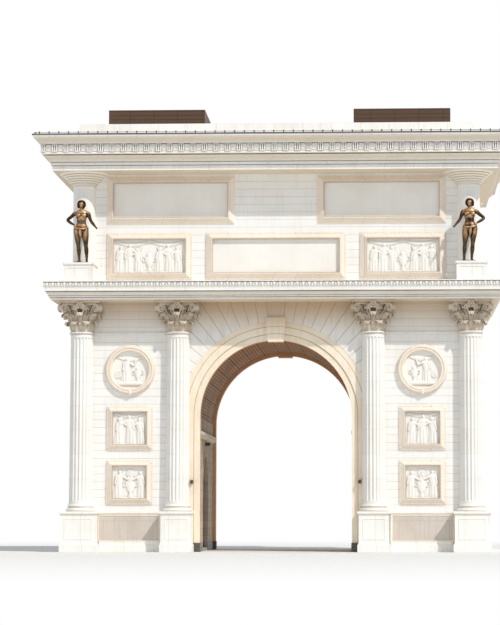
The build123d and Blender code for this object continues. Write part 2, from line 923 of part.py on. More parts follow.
# Lamps on the jambs and over the doorways
with BuildPart() as jamb_lamps:
    box_between(
        (-jamb_lamp_x - lamp_width / 4, -half_depth - lamp_reach, jamb_lamp_height),
        (-jamb_lamp_x + lamp_width / 4, -half_depth, jamb_lamp_height + lamp_height),
    )
    mirror(about=Plane.YZ)
    mirror(about=Plane.XZ)
save(jamb_lamps, "jamb_lamps")

with BuildPart() as passage_lamps:
    box_between(
        (-passage_half, -lamp_width / 2, passage_lamp_height),
        (-passage_half + lamp_reach, lamp_width / 2, passage_lamp_height + lamp_height),
    )
    mirror(about=Plane.YZ)
save(passage_lamps, "passage_lamps")


def limb(start, end, start_radius, end_radius):
    """A tapering limb of a statue between two joints."""
    axis = Vector(*end) - Vector(*start)
    with BuildSketch(Plane(start, z_dir=axis)) as first:
        RegularPolygon(start_radius, figure_sides)
    with BuildSketch(Plane(end, z_dir=axis)) as last:
        RegularPolygon(end_radius, figure_sides)
    loft([first.sketch, last.sketch], ruled=True)


# Bronze statues: a standing figure, one hand on its hip and the other arm held out
head = statue_height / 8
trunk_levels = (
    (4.0, 0.92, 0.60),
    (4.8, 0.68, 0.48),
    (5.8, 0.96, 0.62),
    (6.55, 0.92, 0.45),
    (6.9, 0.30, 0.30),
)
skull_levels = (
    (7.0, 0.20, 0.25),
    (7.2, 0.32, 0.38),
    (7.6, 0.40, 0.47),
    (7.85, 0.30, 0.37),
    (8.0, 0.12, 0.15),
)


def stacked_ovals(levels):
    """Joins level ovals, each given by its height, half width and half depth in heads."""
    sections = []
    for level, half, front in levels:
        with BuildSketch(Plane.XY.offset(level * head)) as section:
            RegularPolygon(half * head, figure_sides)
            scale(by=(1, front / half, 1))
        sections.append(section.sketch)
    loft(sections, ruled=True)


def standing_figure(side):
    """A figure that faces the front, eight heads tall, with its hand on the hip at the given side."""
    with BuildPart() as figure:
        stacked_ovals(trunk_levels)
        stacked_ovals(skull_levels)
        limb((0, 0, 6.8 * head), (0, -0.05 * head, 7.3 * head), 0.25 * head, 0.22 * head)
        for leg, foot_x, knee_x in ((1, 0.42, 0.42), (-1, -0.62, -0.55)):
            hip = (0.42 * leg * side * head, 0, 4.2 * head)
            knee = (knee_x * side * head, -0.12 * head, 2.2 * head)
            ankle = (foot_x * side * head, 0, 0.3 * head)
            limb(hip, knee, 0.5 * head, 0.31 * head)
            limb(knee, ankle, 0.27 * head, 0.17 * head)
            with BuildSketch(Plane.XY) as foot:
                with Locations((foot_x * side * head, -0.22 * head)):
                    SlotOverall(1.04 * head, 0.44 * head, rotation=90)
            extrude(foot.sketch, amount=0.32 * head)
        elbow = (1.85 * side * head, 0.25 * head, 5.25 * head)
        limb((0.8 * side * head, 0, 6.4 * head), elbow, 0.3 * head, 0.22 * head)
        limb(elbow, (0.85 * side * head, -0.2 * head, 4.5 * head), 0.2 * head, 0.15 * head)
        elbow = (-1.35 * side * head, 0.05 * head, 5.1 * head)
        limb((-0.8 * side * head, 0, 6.4 * head), elbow, 0.3 * head, 0.22 * head)
        limb(elbow, (-1.75 * side * head, -0.3 * head, 4.0 * head), 0.2 * head, 0.13 * head)
    return figure.part


with BuildPart() as statues:
    for side in (-1, 1):
        place = Location((side * statue_x, -half_depth - statue_setting, statue_pedestal_top))
        figure_part = standing_figure(side).moved(place)
        add(figure_part)
        add(figure_part.rotate(Axis.Z, 180))
save(statues, "statues")
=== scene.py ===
import math

import bmesh
import bpy
import numpy as np
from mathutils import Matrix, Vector


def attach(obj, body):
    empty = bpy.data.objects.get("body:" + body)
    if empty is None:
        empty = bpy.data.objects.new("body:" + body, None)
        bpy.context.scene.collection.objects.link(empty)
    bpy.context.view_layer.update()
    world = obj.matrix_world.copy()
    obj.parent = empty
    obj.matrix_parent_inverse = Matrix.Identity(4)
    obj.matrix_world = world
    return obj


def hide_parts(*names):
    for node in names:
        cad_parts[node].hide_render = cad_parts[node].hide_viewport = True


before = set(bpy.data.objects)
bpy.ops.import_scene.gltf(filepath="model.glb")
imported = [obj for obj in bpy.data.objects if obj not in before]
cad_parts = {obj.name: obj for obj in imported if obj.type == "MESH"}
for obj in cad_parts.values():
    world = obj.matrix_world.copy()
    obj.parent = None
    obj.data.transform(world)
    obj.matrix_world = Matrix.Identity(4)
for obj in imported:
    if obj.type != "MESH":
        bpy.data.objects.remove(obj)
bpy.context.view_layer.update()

# Levels and distances of the arch that the dressed pieces follow, in metres
HALF_WIDTH = 9.4
HALF_DEPTH = 5.3
WALL = 0.55
SPRINGING = 6.6
PEDESTAL_TOP = 1.96
BASE_TOP = 2.27
ASTRAGAL_BOTTOM = 10.57
SHAFT_TOP = 10.68
ENTABLATURE_BOTTOM = 12.18
ENTABLATURE_TOP = 13.06
STATUE_PEDESTAL_TOP = 14.0
CORNICE_SOFFIT = 18.51
CORNICE_TOP = 20.15
COLUMN_X = (4.77, 9.5)
COLUMN_Y = 5.4
PIER_MIDDLE = 7.135
MEDALLION_LEVEL = 8.85
STATUE_X = 9.46
STATUE_HIPS = 15.45

# The walls are faced in level courses, and the arch in wedges on both sides of its keystone
COURSE = 0.378
WEDGE = math.radians(5.8)
KEY_HALF = math.radians(4.7)

# Painted warm shade under the entablature, from this level up: a brown tint for the warm light in its shade
WARM_SHADE_START = 10.4
WARM_SHADE_TINT = "#BC9C74"


def linear(code):
    """The linear colour of an sRGB hex code."""
    parts = [int(code[i : i + 2], 16) / 255 for i in (1, 3, 5)]
    return tuple(p / 12.92 if p <= 0.04045 else ((p + 0.055) / 1.055) ** 2.4 for p in parts) + (1.0,)


def add(tree, kind, inputs=None, **settings):
    """Adds a node with its settings, and each of its inputs as a value or as the socket that feeds it."""
    made = tree.nodes.new(kind)
    for name, value in settings.items():
        setattr(made, name, value)
    for name, value in (inputs or {}).items():
        if isinstance(value, bpy.types.NodeSocket):
            tree.links.new(value, made.inputs[name])
        else:
            made.inputs[name].default_value = value
    return made


def blank_material(name):
    """A new material with an empty node tree."""
    material = bpy.data.materials.new(name)
    material.use_nodes = True
    material.node_tree.nodes.clear()
    return material, material.node_tree


def layered(tree, shade, layers):
    """The colour after each layer of the finish: a mask and the hex code of what lies under it."""
    for mask, code in layers:
        shade = add(
            tree, "ShaderNodeMix", {0: mask, 6: shade, 7: linear(code)}, data_type="RGBA"
        ).outputs[2]
    return shade


# Stone


def joint_layout(tree, layout):
    """The surface coordinates that the joints follow: level courses, or rays round the arch's centre."""
    place = add(tree, "ShaderNodeTexCoord").outputs["Object"]
    x, y, z = add(tree, "ShaderNodeSeparateXYZ", {0: place}).outputs
    along = add(tree, "ShaderNodeMath", {0: x, 1: y}, operation="ADD").outputs[0]
    rise = z
    if layout == "arch":
        above = add(tree, "ShaderNodeMath", {0: z, 1: SPRINGING}, operation="SUBTRACT").outputs[0]
        upper = add(tree, "ShaderNodeMath", {0: above, 1: 0.0}, operation="MAXIMUM").outputs[0]
        lower = add(tree, "ShaderNodeMath", {0: above, 1: 0.0}, operation="MINIMUM").outputs[0]
        out = add(tree, "ShaderNodeMath", {0: x}, operation="ABSOLUTE").outputs[0]
        turn = add(tree, "ShaderNodeMath", {0: upper, 1: out}, operation="ARCTAN2").outputs[0]
        per_wedge = COURSE / WEDGE
        first = add(
            tree, "ShaderNodeMath", {0: lower, 1: (math.pi / 2 - KEY_HALF) * per_wedge}, operation="SUBTRACT"
        ).outputs[0]
        rise = add(
            tree, "ShaderNodeMath", {0: turn, 1: per_wedge, 2: first}, operation="MULTIPLY_ADD"
        ).outputs[0]
        along = y
    return place, add(tree, "ShaderNodeCombineXYZ", {0: along, 1: rise, 2: 0.0}).outputs[0]


def ring_line(tree, place, radius):
    """A mask of a dark line that runs round the arch at a radius, and straight down below its springing. It
    draws a groove, and at the step between two bands it is painted shadow.
    """
    from_centre = add(
        tree, "ShaderNodeVectorMath", {0: place, 1: (0.0, 0.0, SPRINGING)}, operation="SUBTRACT"
    ).outputs[0]

    # Below the springing only the distance from the middle plane counts
    above = add(
        tree, "ShaderNodeVectorMath", {0: from_centre, 1: (-100.0, 0.0, 0.0)}, operation="MAXIMUM"
    ).outputs[0]
    level = add(tree, "ShaderNodeVectorMath", {0: above, 1: (1.0, 0.0, 1.0)}, operation="MULTIPLY").outputs[0]
    away = add(tree, "ShaderNodeVectorMath", {0: level}, operation="LENGTH").outputs["Value"]
    return add(tree, "ShaderNodeMath", {0: away, 1: radius, 2: 0.012}, operation="COMPARE").outputs[0]


def dressed_stone(
    name, colour, tone, joint, layout="level", course=COURSE, length=0.78, joint_width=0.012, stain=0.3,
    underside_shade="#C9B291", rough=0.72, relief=0.006, offset=0.5, hollows=0.0, rings=(), bands=0.0,
    painted_warm_shade=0.0, inner="",
):
    """Sawn stone: each block has its own tone, with a fine grain, rain streaks and painted warm shade on the
    undersides.

    The hollows get painted shade, darker by what a piece stores as "hollow". Rings are dark lines round the
    arch, bands are wide joints between groups of courses, painted_warm_shade is the painted warm shade under
    the entablature and inner the colour of the painted warm shade in the passage.
    """
    material, tree = blank_material(name)
    place, layout_place = joint_layout(tree, layout)
    axes = add(tree, "ShaderNodeSeparateXYZ", {0: place}).outputs
    blocks = add(
        tree, "ShaderNodeTexBrick",
        {
            "Vector": layout_place, "Color1": (0, 0, 0, 1), "Color2": (1, 1, 1, 1),
            "Mortar": (0.5, 0.5, 0.5, 1), "Scale": 1.0, "Mortar Size": joint_width / 2,
            "Mortar Smooth": 0.3, "Bias": 0.0, "Brick Width": length, "Row Height": course,
        },
        offset=offset, squash=1.0,
    )
    grain = add(
        tree, "ShaderNodeTexNoise", {"Vector": place, "Scale": 28.0, "Detail": 5.0, "Roughness": 0.65}
    ).outputs["Fac"]
    cloud = add(
        tree, "ShaderNodeTexNoise", {"Vector": place, "Scale": 0.7, "Detail": 4.0, "Roughness": 0.6}
    ).outputs["Fac"]
    stretched = add(tree, "ShaderNodeMapping", {"Vector": place, "Scale": (3.2, 3.2, 0.28)}).outputs[0]
    streaks = add(
        tree, "ShaderNodeTexNoise", {"Vector": stretched, "Scale": 1.6, "Detail": 6.0, "Roughness": 0.7}
    ).outputs["Fac"]
    streak_mask = add(
        tree, "ShaderNodeMapRange",
        {"Value": streaks, "From Min": 0.5, "From Max": 0.78, "To Min": 0.0, "To Max": stain},
    ).outputs[0]

    # Tone of each block, with mottling and flecks
    tone_mask = add(
        tree, "ShaderNodeMath", {0: blocks.outputs["Color"], 1: 0.45, 2: 0.0}, operation="MULTIPLY_ADD"
    ).outputs[0]
    mottle = add(
        tree, "ShaderNodeMapRange",
        {"Value": cloud, "From Min": 0.35, "From Max": 0.7, "To Min": 0.0, "To Max": 0.75},
    ).outputs[0]
    fleck = add(
        tree, "ShaderNodeMapRange",
        {"Value": grain, "From Min": 0.35, "From Max": 0.7, "To Min": -0.12, "To Max": 0.16},
    ).outputs[0]
    mottled = add(tree, "ShaderNodeMath", {0: tone_mask, 1: mottle}, operation="ADD").outputs[0]
    total = add(tree, "ShaderNodeMath", {0: mottled, 1: fleck}, operation="ADD", use_clamp=True).outputs[0]
    body = add(
        tree, "ShaderNodeMix", {0: total, 6: linear(colour), 7: linear(tone)}, data_type="RGBA"
    ).outputs[2]

    # What lies over it, from the rain streaks to the joints
    # Painted warm shade on faces that point down, which take the colour of their underside
    facing = add(tree, "ShaderNodeNewGeometry").outputs["Normal"]
    down = add(tree, "ShaderNodeSeparateXYZ", {0: facing}).outputs[2]
    under = add(
        tree, "ShaderNodeMapRange",
        {"Value": down, "From Min": -0.2, "From Max": -0.9, "To Min": 0.0, "To Max": 0.75},
    ).outputs[0]
    layers = [(streak_mask, joint), (under, underside_shade)]
    # Painted warm shade on what lies inside the passage, in the inner colour
    if inner:
        depth = add(tree, "ShaderNodeMath", {0: axes[1]}, operation="ABSOLUTE").outputs[0]
        passage = add(
            tree, "ShaderNodeMath", {0: depth, 1: HALF_DEPTH - 0.2}, operation="LESS_THAN"
        ).outputs[0]
        passage_shade_mask = add(tree, "ShaderNodeMath", {0: passage, 1: 0.85}, operation="MULTIPLY").outputs[0]
        layers.append((passage_shade_mask, inner))
    # Painted warm shade under the entablature: a brown tint that grows up to the entablature's foot and stops
    # above its top
    if painted_warm_shade:
        warm_shade_ramp = add(
            tree, "ShaderNodeMapRange",
            {
                "Value": axes[2], "From Min": WARM_SHADE_START, "From Max": ENTABLATURE_BOTTOM,
                "To Min": 0.0, "To Max": painted_warm_shade,
            },
            interpolation_type="SMOOTHSTEP",
        ).outputs[0]
        below = add(
            tree, "ShaderNodeMath", {0: axes[2], 1: ENTABLATURE_TOP}, operation="LESS_THAN"
        ).outputs[0]
        warm_shade_mask = add(tree, "ShaderNodeMath", {0: warm_shade_ramp, 1: below}, operation="MULTIPLY").outputs[0]
        layers.append((warm_shade_mask, WARM_SHADE_TINT))
    # Painted shade in the hollows: the joint colour, by how deep the stored "hollow" is
    if hollows:
        carved = add(tree, "ShaderNodeAttribute", attribute_name="hollow").outputs["Fac"]
        deep = add(
            tree, "ShaderNodeMapRange",
            {"Value": carved, "From Min": 0.0, "From Max": 1.0, "To Min": 0.0, "To Max": hollows},
        ).outputs[0]
        layers.append((deep, joint))
    cut = blocks.outputs["Fac"]
    for radius in rings:
        ring_line_mask = ring_line(tree, place, radius)
        cut = add(tree, "ShaderNodeMath", {0: cut, 1: ring_line_mask}, operation="MAXIMUM").outputs[0]
    if bands:
        wide = add(
            tree, "ShaderNodeTexBrick",
            {
                "Vector": layout_place, "Scale": 1.0, "Mortar Size": 0.03, "Mortar Smooth": 0.2, "Bias": 0.0,
                "Brick Width": 80.0, "Row Height": bands,
            },
            offset=0.0,
        ).outputs["Fac"]
        cut = add(tree, "ShaderNodeMath", {0: cut, 1: 0.7}, operation="MULTIPLY").outputs[0]
        cut = add(tree, "ShaderNodeMath", {0: cut, 1: wide}, operation="MAXIMUM").outputs[0]
    joint_mask = add(tree, "ShaderNodeMath", {0: cut, 1: 0.8}, operation="MULTIPLY").outputs[0]
    layers.append((joint_mask, joint))
    final = layered(tree, body, layers)

    # Joints cut in, over the roughness of the grain
    groove = add(tree, "ShaderNodeMath", {0: cut, 1: -1.0, 2: 1.0}, operation="MULTIPLY_ADD").outputs[0]
    surface = add(tree, "ShaderNodeMath", {0: grain, 1: 0.35, 2: groove}, operation="MULTIPLY_ADD").outputs[0]
    bump = add(
        tree, "ShaderNodeBump", {"Height": surface, "Strength": 0.6, "Distance": relief}
    ).outputs[0]
    polish = add(
        tree, "ShaderNodeMapRange",
        {
            "Value": cloud, "From Min": 0.3, "From Max": 0.7,
            "To Min": rough - 0.08, "To Max": min(rough + 0.1, 1.0),
        },
    ).outputs[0]
    shader = add(
        tree, "ShaderNodeBsdfPrincipled", {"Base Color": final, "Roughness": polish, "Normal": bump}
    )
    add(tree, "ShaderNodeOutputMaterial", {"Surface": shader.outputs[0]})
    return material


# Carved pieces are cut from blocks with no joint in them
ONE_BLOCK = {"course": 40.0, "length": 40.0, "joint_width": 0.001, "offset": 0.0}

# A course runs the whole width of a wall, with no upright joints
WHOLE_COURSE = 60.0

# Honed white limestone in level courses, each a little different, with grey bed joints.
# The joints are drawn wider than their 4 mm, or they would not show in the render.
# These courses get painted warm shade under the entablature.
coursed_limestone = dressed_stone(
    "honed_white_limestone_courses", "#FAF8F4", "#F2EFEA", "#A19C94", length=WHOLE_COURSE,
    joint_width=0.014, stain=0.16, painted_warm_shade=0.65,
)

# The same limestone cut in wedges round the arch
# The wedges get painted warm shade under the entablature too.
wedged_limestone = dressed_stone(
    "honed_white_limestone_wedges", "#F8F5F0", "#EFECE6", "#857F76", layout="arch", length=40.0,
    joint_width=0.018, offset=0.0, painted_warm_shade=0.85,
)

# Moulded limestone in long blocks: hardly any joints, darker streaks where the rain runs off
moulded_limestone = dressed_stone(
    "moulded_white_limestone", "#F9F7F2", "#F0ECE5", "#ADA59A", course=40.0, length=1.42, joint_width=0.01,
    stain=0.22, offset=0.0, underside_shade="#D3BF9F",
)

# Turned limestone drums of the columns, with a level joint between drums
turned_limestone = dressed_stone(
    "turned_white_limestone_drums", "#F6F4EF", "#EEEAE3", "#CDC7BE", course=1.18, length=WHOLE_COURSE,
    joint_width=0.01, stain=0.2,
)

# Turned limestone of the drums under the cornice, with painted brown shade in the grooves between the rings
ringed_limestone = dressed_stone(
    "turned_white_limestone_rings", "#F9F7F3", "#F1EEE8", "#8D755A", course=0.58, length=WHOLE_COURSE,
    joint_width=0.006, underside_shade="#F3E7D2", stain=0.12, hollows=0.35,
)

# Carved limestone of the capitals: the same stone with painted darker, warmer shade in its hollows
carved_limestone = dressed_stone(
    "carved_weathered_limestone", "#E0D5C5", "#CBBBA5", "#4C3B2C", underside_shade="#90744F", stain=0.3,
    hollows=1.0, rough=0.8, **ONE_BLOCK,
)

# Warm sandstone of the arch ring, its jambs and the keystones: cream, with painted brown shade on its
# undersides
# The ring line at 4.0 m is a painted shadow line along the step between the bands; the one at 4.36 m is a
# groove.
arch_sandstone = dressed_stone(
    "sawn_cream_sandstone", "#FCF2E0", "#F3E2C8", "#A98C69", underside_shade="#C8803F", stain=0.22,
    # Painted warm shade in the passage, and under the entablature
    rings=(4.0, 4.36), painted_warm_shade=1.0, inner="#C28A54", **ONE_BLOCK,
)

# Grey-brown stone of the vault, in courses that follow its curve
vault_stone = dressed_stone(
    "split_grey_brown_vault_stone", "#AE8F70", "#8E7053", "#3A2B1F", layout="arch", course=0.151,
    length=40.0, joint_width=0.04, underside_shade="#A06C3E", stain=0.35, rough=0.8, relief=0.012, offset=0.0,
    bands=0.755,
)

# Plainer grey-beige stone of the passage's walls and doorways
passage_stone = dressed_stone(
    "honed_grey_beige_passage_stone", "#B9AC9B", "#A19382", "#63584C", length=WHOLE_COURSE,
    underside_shade="#8F7757", stain=0.25, rough=0.78,
)

# Cream limestone of the frames and medallions, with painted shade in their hollows
frame_limestone = dressed_stone(
    "moulded_cream_limestone", "#F7ECDE", "#EFE1CF", "#8C7761", course=40.0, length=1.1, joint_width=0.008,
    underside_shade="#EBDDCC", stain=0.12, offset=0.0, hollows=0.5,
)

# Pale limestone of the reliefs, with painted grey shade in the hollows of the carving
relief_limestone = dressed_stone(
    "carved_pale_limestone", "#F9F6F0", "#F1ECE4", "#7C7165", underside_shade="#D3C0A4", stain=0.05,
    hollows=0.55, **ONE_BLOCK,
)

# The same stone in the bands of small carving, with painted shade deep between the leaves and bars
band_limestone = dressed_stone(
    "carved_limestone_bands_dark_gaps", "#FBF8F3", "#F3EFE8", "#4C4238", underside_shade="#D9C8AE", stain=0.1,
    hollows=0.92, **ONE_BLOCK,
)

# Pinkish grey stone of the dados
dado_stone_slabs = dressed_stone(
    "honed_pinkish_grey_slabs", "#D8CEC3", "#C9BDB2", "#97897D", course=1.5, length=1.2, stain=0.35,
)

# Dark granite of the plinths, with a slight polish
plinth_granite = dressed_stone(
    "polished_dark_granite", "#4B4744", "#5E5955", "#2B2927", course=0.44, length=1.3, joint_width=0.008,
    underside_shade="#3A3633", stain=0.2, rough=0.42, relief=0.002,
)

# Screeded concrete of the floors and the roof deck
screeded_concrete = dressed_stone(
    "screeded_grey_concrete", "#A9A59D", "#94908A", "#7A766F", course=3.0, length=3.0, joint_width=0.015,
    underside_shade="#8F8A82", stain=0.4, rough=0.9, relief=0.01,
)


# Metal


def cladding():
    """Folded brown metal sheet in upright bays, a little faded and dusty."""
    material, tree = blank_material("folded_brown_coated_steel")
    place, layout_place = joint_layout(tree, "level")
    bays = add(
        tree, "ShaderNodeTexBrick",
        {
            "Vector": layout_place, "Color1": (0, 0, 0, 1), "Color2": (1, 1, 1, 1), "Mortar": (0, 0, 0, 1),
            "Scale": 1.0, "Mortar Size": 0.012, "Mortar Smooth": 0.1, "Bias": 0.0, "Brick Width": 1.225,
            "Row Height": 0.21,
        },
        offset=0.0,
    ).outputs
    dust = add(tree, "ShaderNodeTexNoise", {"Vector": place, "Scale": 2.2, "Detail": 5.0, "Roughness": 0.65})
    layers = [(dust.outputs["Fac"], "#644730"), (bays["Color"], "#573C29"), (bays["Fac"], "#2C221B")]
    seamed = layered(tree, linear("#4A3322"), layers)
    bump = add(
        tree, "ShaderNodeBump", {"Height": bays["Fac"], "Strength": 0.8, "Distance": 0.02}
    ).outputs[0]
    shader = add(
        tree, "ShaderNodeBsdfPrincipled", {"Base Color": seamed, "Roughness": 0.55, "Normal": bump}
    )
    add(tree, "ShaderNodeOutputMaterial", {"Surface": shader.outputs[0]})
    return material


# Brown sheet of the roof boxes and the lamps on the jambs, with a seam at each bay
clad_steel = cladding()


def aged_metal(name, colour, wear_and_highlight, hollow_colour, rough, statue=False):
    """Metal that has gone dark in its hollows and stays bright where it is rubbed or washed.

    On a statue the arms and legs get painted shade: they are darker than the trunk.
    """
    material, tree = blank_material(name)
    place = add(tree, "ShaderNodeTexCoord").outputs["Object"]
    patches = add(
        tree, "ShaderNodeTexNoise", {"Vector": place, "Scale": 5.0, "Detail": 6.0, "Roughness": 0.65}
    ).outputs["Fac"]
    runs = add(tree, "ShaderNodeMapping", {"Vector": place, "Scale": (14.0, 14.0, 1.6)}).outputs[0]
    streaks = add(tree, "ShaderNodeTexNoise", {"Vector": runs, "Scale": 1.0, "Detail": 4.0}).outputs["Fac"]
    carved = add(tree, "ShaderNodeAttribute", attribute_name="hollow").outputs["Fac"]
    raised = add(
        tree, "ShaderNodeMapRange",
        {"Value": carved, "From Min": 0.05, "From Max": -0.35, "To Min": 0.0, "To Max": 0.9},
    ).outputs[0]
    patch_mask = add(
        tree, "ShaderNodeMapRange",
        {"Value": patches, "From Min": 0.42, "From Max": 0.68, "To Min": 0.0, "To Max": 0.6},
    ).outputs[0]
    # Raised parts and patches take the worn colour: real wear, and on the statue also a painted highlight
    rubbed = add(
        tree, "ShaderNodeMath", {0: raised, 1: patch_mask}, operation="ADD", use_clamp=True
    ).outputs[0]
    deep = add(
        tree, "ShaderNodeMapRange",
        {"Value": carved, "From Min": 0.0, "From Max": 0.35, "To Min": 0.0, "To Max": 1.8},
    ).outputs[0]
    dark = add(tree, "ShaderNodeMath", {0: deep, 1: streaks}, operation="MULTIPLY").outputs[0]
    layers = [(rubbed, wear_and_highlight), (dark, hollow_colour)]
    # Painted shade on a statue: the arms and legs are mixed toward the hollow colour
    if statue:
        axes = add(tree, "ShaderNodeSeparateXYZ", {0: place}).outputs
        side = add(tree, "ShaderNodeMath", {0: axes[0]}, operation="ABSOLUTE").outputs[0]
        away = add(tree, "ShaderNodeMath", {0: side, 1: STATUE_X}, operation="SUBTRACT").outputs[0]
        reach = add(tree, "ShaderNodeMath", {0: away}, operation="ABSOLUTE").outputs[0]
        arms = add(
            tree, "ShaderNodeMapRange",
            {"Value": reach, "From Min": 0.25, "From Max": 0.40, "To Min": 0.0, "To Max": 0.85},
            interpolation_type="SMOOTHSTEP",
        ).outputs[0]
        legs = add(
            tree, "ShaderNodeMapRange",
            {
                "Value": axes[2], "From Min": STATUE_HIPS, "From Max": STATUE_HIPS - 0.4,
                "To Min": 0.0, "To Max": 0.75,
            },
        ).outputs[0]
        layers += [(arms, hollow_colour), (legs, hollow_colour)]
    final = layered(tree, linear(colour), layers)
    polish = add(
        tree, "ShaderNodeMapRange",
        {"Value": patches, "From Min": 0.3, "From Max": 0.7, "To Min": rough, "To Max": rough + 0.2},
    ).outputs[0]
    bump = add(tree, "ShaderNodeBump", {"Height": patches, "Strength": 0.4, "Distance": 0.006}).outputs[0]
    shader = add(
        tree, "ShaderNodeBsdfPrincipled",
        {"Base Color": final, "Roughness": polish, "Normal": bump, "Metallic": 1.0},
    )
    add(tree, "ShaderNodeOutputMaterial", {"Surface": shader.outputs[0]})
    return material


# Cast bronze of the statues: dark brown, with golden wear on the raised parts that is also a painted
# highlight
cast_bronze = aged_metal("cast_brown_patinated_bronze", "#2E221A", "#CFA880", "#17100B", 0.34, statue=True)

# The same bronze on the hair, nearly black
blackened_bronze = aged_metal("cast_blackened_bronze", "#1E1611", "#4A382A", "#0A0705", 0.42)

# Dark lead and painted steel of the cornice edge, the studs and the lamps
weathered_lead = aged_metal("weathered_dark_lead", "#4A4744", "#6A6661", "#1E1C1B", 0.5)


# Shapes are pairs of points and faces, joined and turned before they become a piece


def skin(rows, round_rows=False, round_columns=False):
    """Quads over a grid of points, given row by row; the faces look along columns x rows."""
    rows = np.asarray(rows, float)
    count, width = rows.shape[:2]
    index = np.arange(count * width).reshape(count, width)
    if round_columns:
        index = np.hstack([index, index[:, :1]])
    if round_rows:
        index = np.vstack([index, index[:1]])
    corners = (index[:-1, :-1], index[:-1, 1:], index[1:, 1:], index[1:, :-1])
    return rows.reshape(-1, 3), np.stack([c.ravel() for c in corners], axis=1).tolist()


def joined(shapes):
    """One shape from several."""
    points, faces, start = [], [], 0
    for shape_points, shape_faces in shapes:
        points.append(shape_points)
        faces.extend([start + index for index in face] for face in shape_faces)
        start += len(shape_points)
    return np.vstack(points), faces


def mirrored(shape):
    """The shape on the other side of the arch's middle plane."""
    points, faces = shape
    return points * (-1, 1, 1), [face[::-1] for face in faces]


def turned(shape, degrees):
    """The shape turned about the upright axis."""
    points, faces = shape
    angle = math.radians(degrees)
    spin = np.array(
        [[math.cos(angle), -math.sin(angle), 0], [math.sin(angle), math.cos(angle), 0], [0, 0, 1]]
    )
    return points @ spin.T, faces


def moved(shape, x, y, z):
    """The shape shifted in the frame."""
    points, faces = shape
    return points + (x, y, z), faces


def both_sides(shape):
    """The shape and its mirror image."""
    return joined([shape, mirrored(shape)])


def front_and_rear(shape):
    """The shape on the front and again on the rear."""
    return joined([shape, turned(shape, 180)])


def four_times(shape):
    """A shape from the left of the front, on both sides of the front and the rear."""
    return front_and_rear(both_sides(shape))


def outside_walls(shape):
    """Leaves out the faces that lie inside the walls, where a piece engages with them."""
    points, faces = shape
    kept = []
    for face in faces:
        x, y, _ = points[face].mean(axis=0)
        if abs(x) > HALF_WIDTH - 0.01 or abs(y) > HALF_DEPTH - 0.01:
            kept.append(face)
    return points, kept


def round_angles(count):
    """Even angles for a full turn."""
    return np.linspace(0, 2 * math.pi, count, endpoint=False)


def tube(rows):
    """A closed tube over rings of points, with its ends filled."""
    points, faces = skin(rows, round_columns=True)
    around = len(rows[0])
    faces.append(list(range(around))[::-1])
    faces.append(list(range(len(points) - around, len(points))))
    return points, faces


def lathe(profile, segments):
    """A shape turned about the upright axis, from (radius, height) pairs that run from the bottom up."""
    angles = round_angles(segments)
    return tube([[(r * math.cos(a), r * math.sin(a), z) for a in angles] for r, z in profile])


def smooth_line(points, count):
    """Points at even steps along a smooth line through the given ones."""
    points = np.asarray(points, float)
    padded = np.vstack([2 * points[0] - points[1], points, 2 * points[-1] - points[-2]])
    fine = []
    for i in range(1, len(padded) - 2):
        before, start, end, after = padded[i - 1 : i + 3]
        for t in np.linspace(0, 1, 16, endpoint=False):
            fine.append(
                0.5 * (2 * start + (end - before) * t + (2 * before - 5 * start + 4 * end - after) * t**2
                       + (3 * start - before - 3 * end + after) * t**3)
            )
    fine = np.array(fine + [points[-1]])
    along = np.concatenate([[0], np.cumsum(np.linalg.norm(np.diff(fine, axis=0), axis=1))])
    steps = np.linspace(0, along[-1], count)
    return np.stack([np.interp(steps, along, fine[:, axis]) for axis in range(fine.shape[1])], axis=1)


def thickened(rows, thickness):
    """A closed leaf from its front surface, with its back set behind by the thickness."""
    rows = np.asarray(rows, float)
    across = np.gradient(rows, axis=1)
    up = np.gradient(rows, axis=0)
    outward = np.cross(across, up)
    outward /= np.linalg.norm(outward, axis=2, keepdims=True) + 1e-9
    back = rows - thickness * outward
    loop = np.concatenate([rows, back[:, ::-1]], axis=1)
    points, faces = skin(loop, round_columns=True)
    width = loop.shape[1]
    half = width // 2
    for row, flip in ((0, True), (len(rows) - 1, False)):
        for column in range(half - 1):
            face = [
                row * width + column, row * width + column + 1,
                row * width + width - 2 - column, row * width + width - 1 - column,
            ]
            faces.append(face[::-1] if flip else face)
    return points, faces


def vertex_vectors(mesh, kind="co"):
    """The place or the normal of each point of a mesh."""
    values = np.empty(len(mesh.vertices) * 3)
    mesh.vertices.foreach_get(kind, values)
    return values.reshape(-1, 3)


def store_hollow(mesh, values):
    """Keeps one value for each point of a mesh, for its material to read."""
    stored = mesh.attributes.new("hollow", "FLOAT", "POINT")
    stored.data.foreach_set("value", values)


def mark_hollows(mesh, passes, depth):
    """Stores how deep each point lies below what surrounds it, which the carved finishes darken as painted
    shade.
    """
    place, normal = vertex_vectors(mesh), vertex_vectors(mesh, "normal")
    count = len(place)
    ends = np.empty(len(mesh.edges) * 2, dtype=np.int32)
    mesh.edges.foreach_get("vertices", ends)
    first, second = ends[::2], ends[1::2]
    degree = np.maximum(np.bincount(ends, minlength=count), 1)
    even = place.copy()
    for _ in range(passes):
        total = np.stack(
            [
                np.bincount(first, even[second, axis], count) + np.bincount(second, even[first, axis], count)
                for axis in range(3)
            ],
            axis=1,
        )
        even = 0.4 * even + 0.6 * total / degree[:, None]
    hollow = ((even - place) * normal).sum(axis=1) / depth
    store_hollow(mesh, np.clip(hollow, -1, 1))


def mark_backs(mesh, projection, rise):
    """Stores how far each point of a band lies behind the band's front, which its finish darkens as painted
    shade.
    """
    place = np.abs(vertex_vectors(mesh))
    out = np.maximum(place[:, 0] - HALF_WIDTH, place[:, 1] - HALF_DEPTH) - projection
    store_hollow(mesh, np.clip(1 - out / rise, 0, 1))


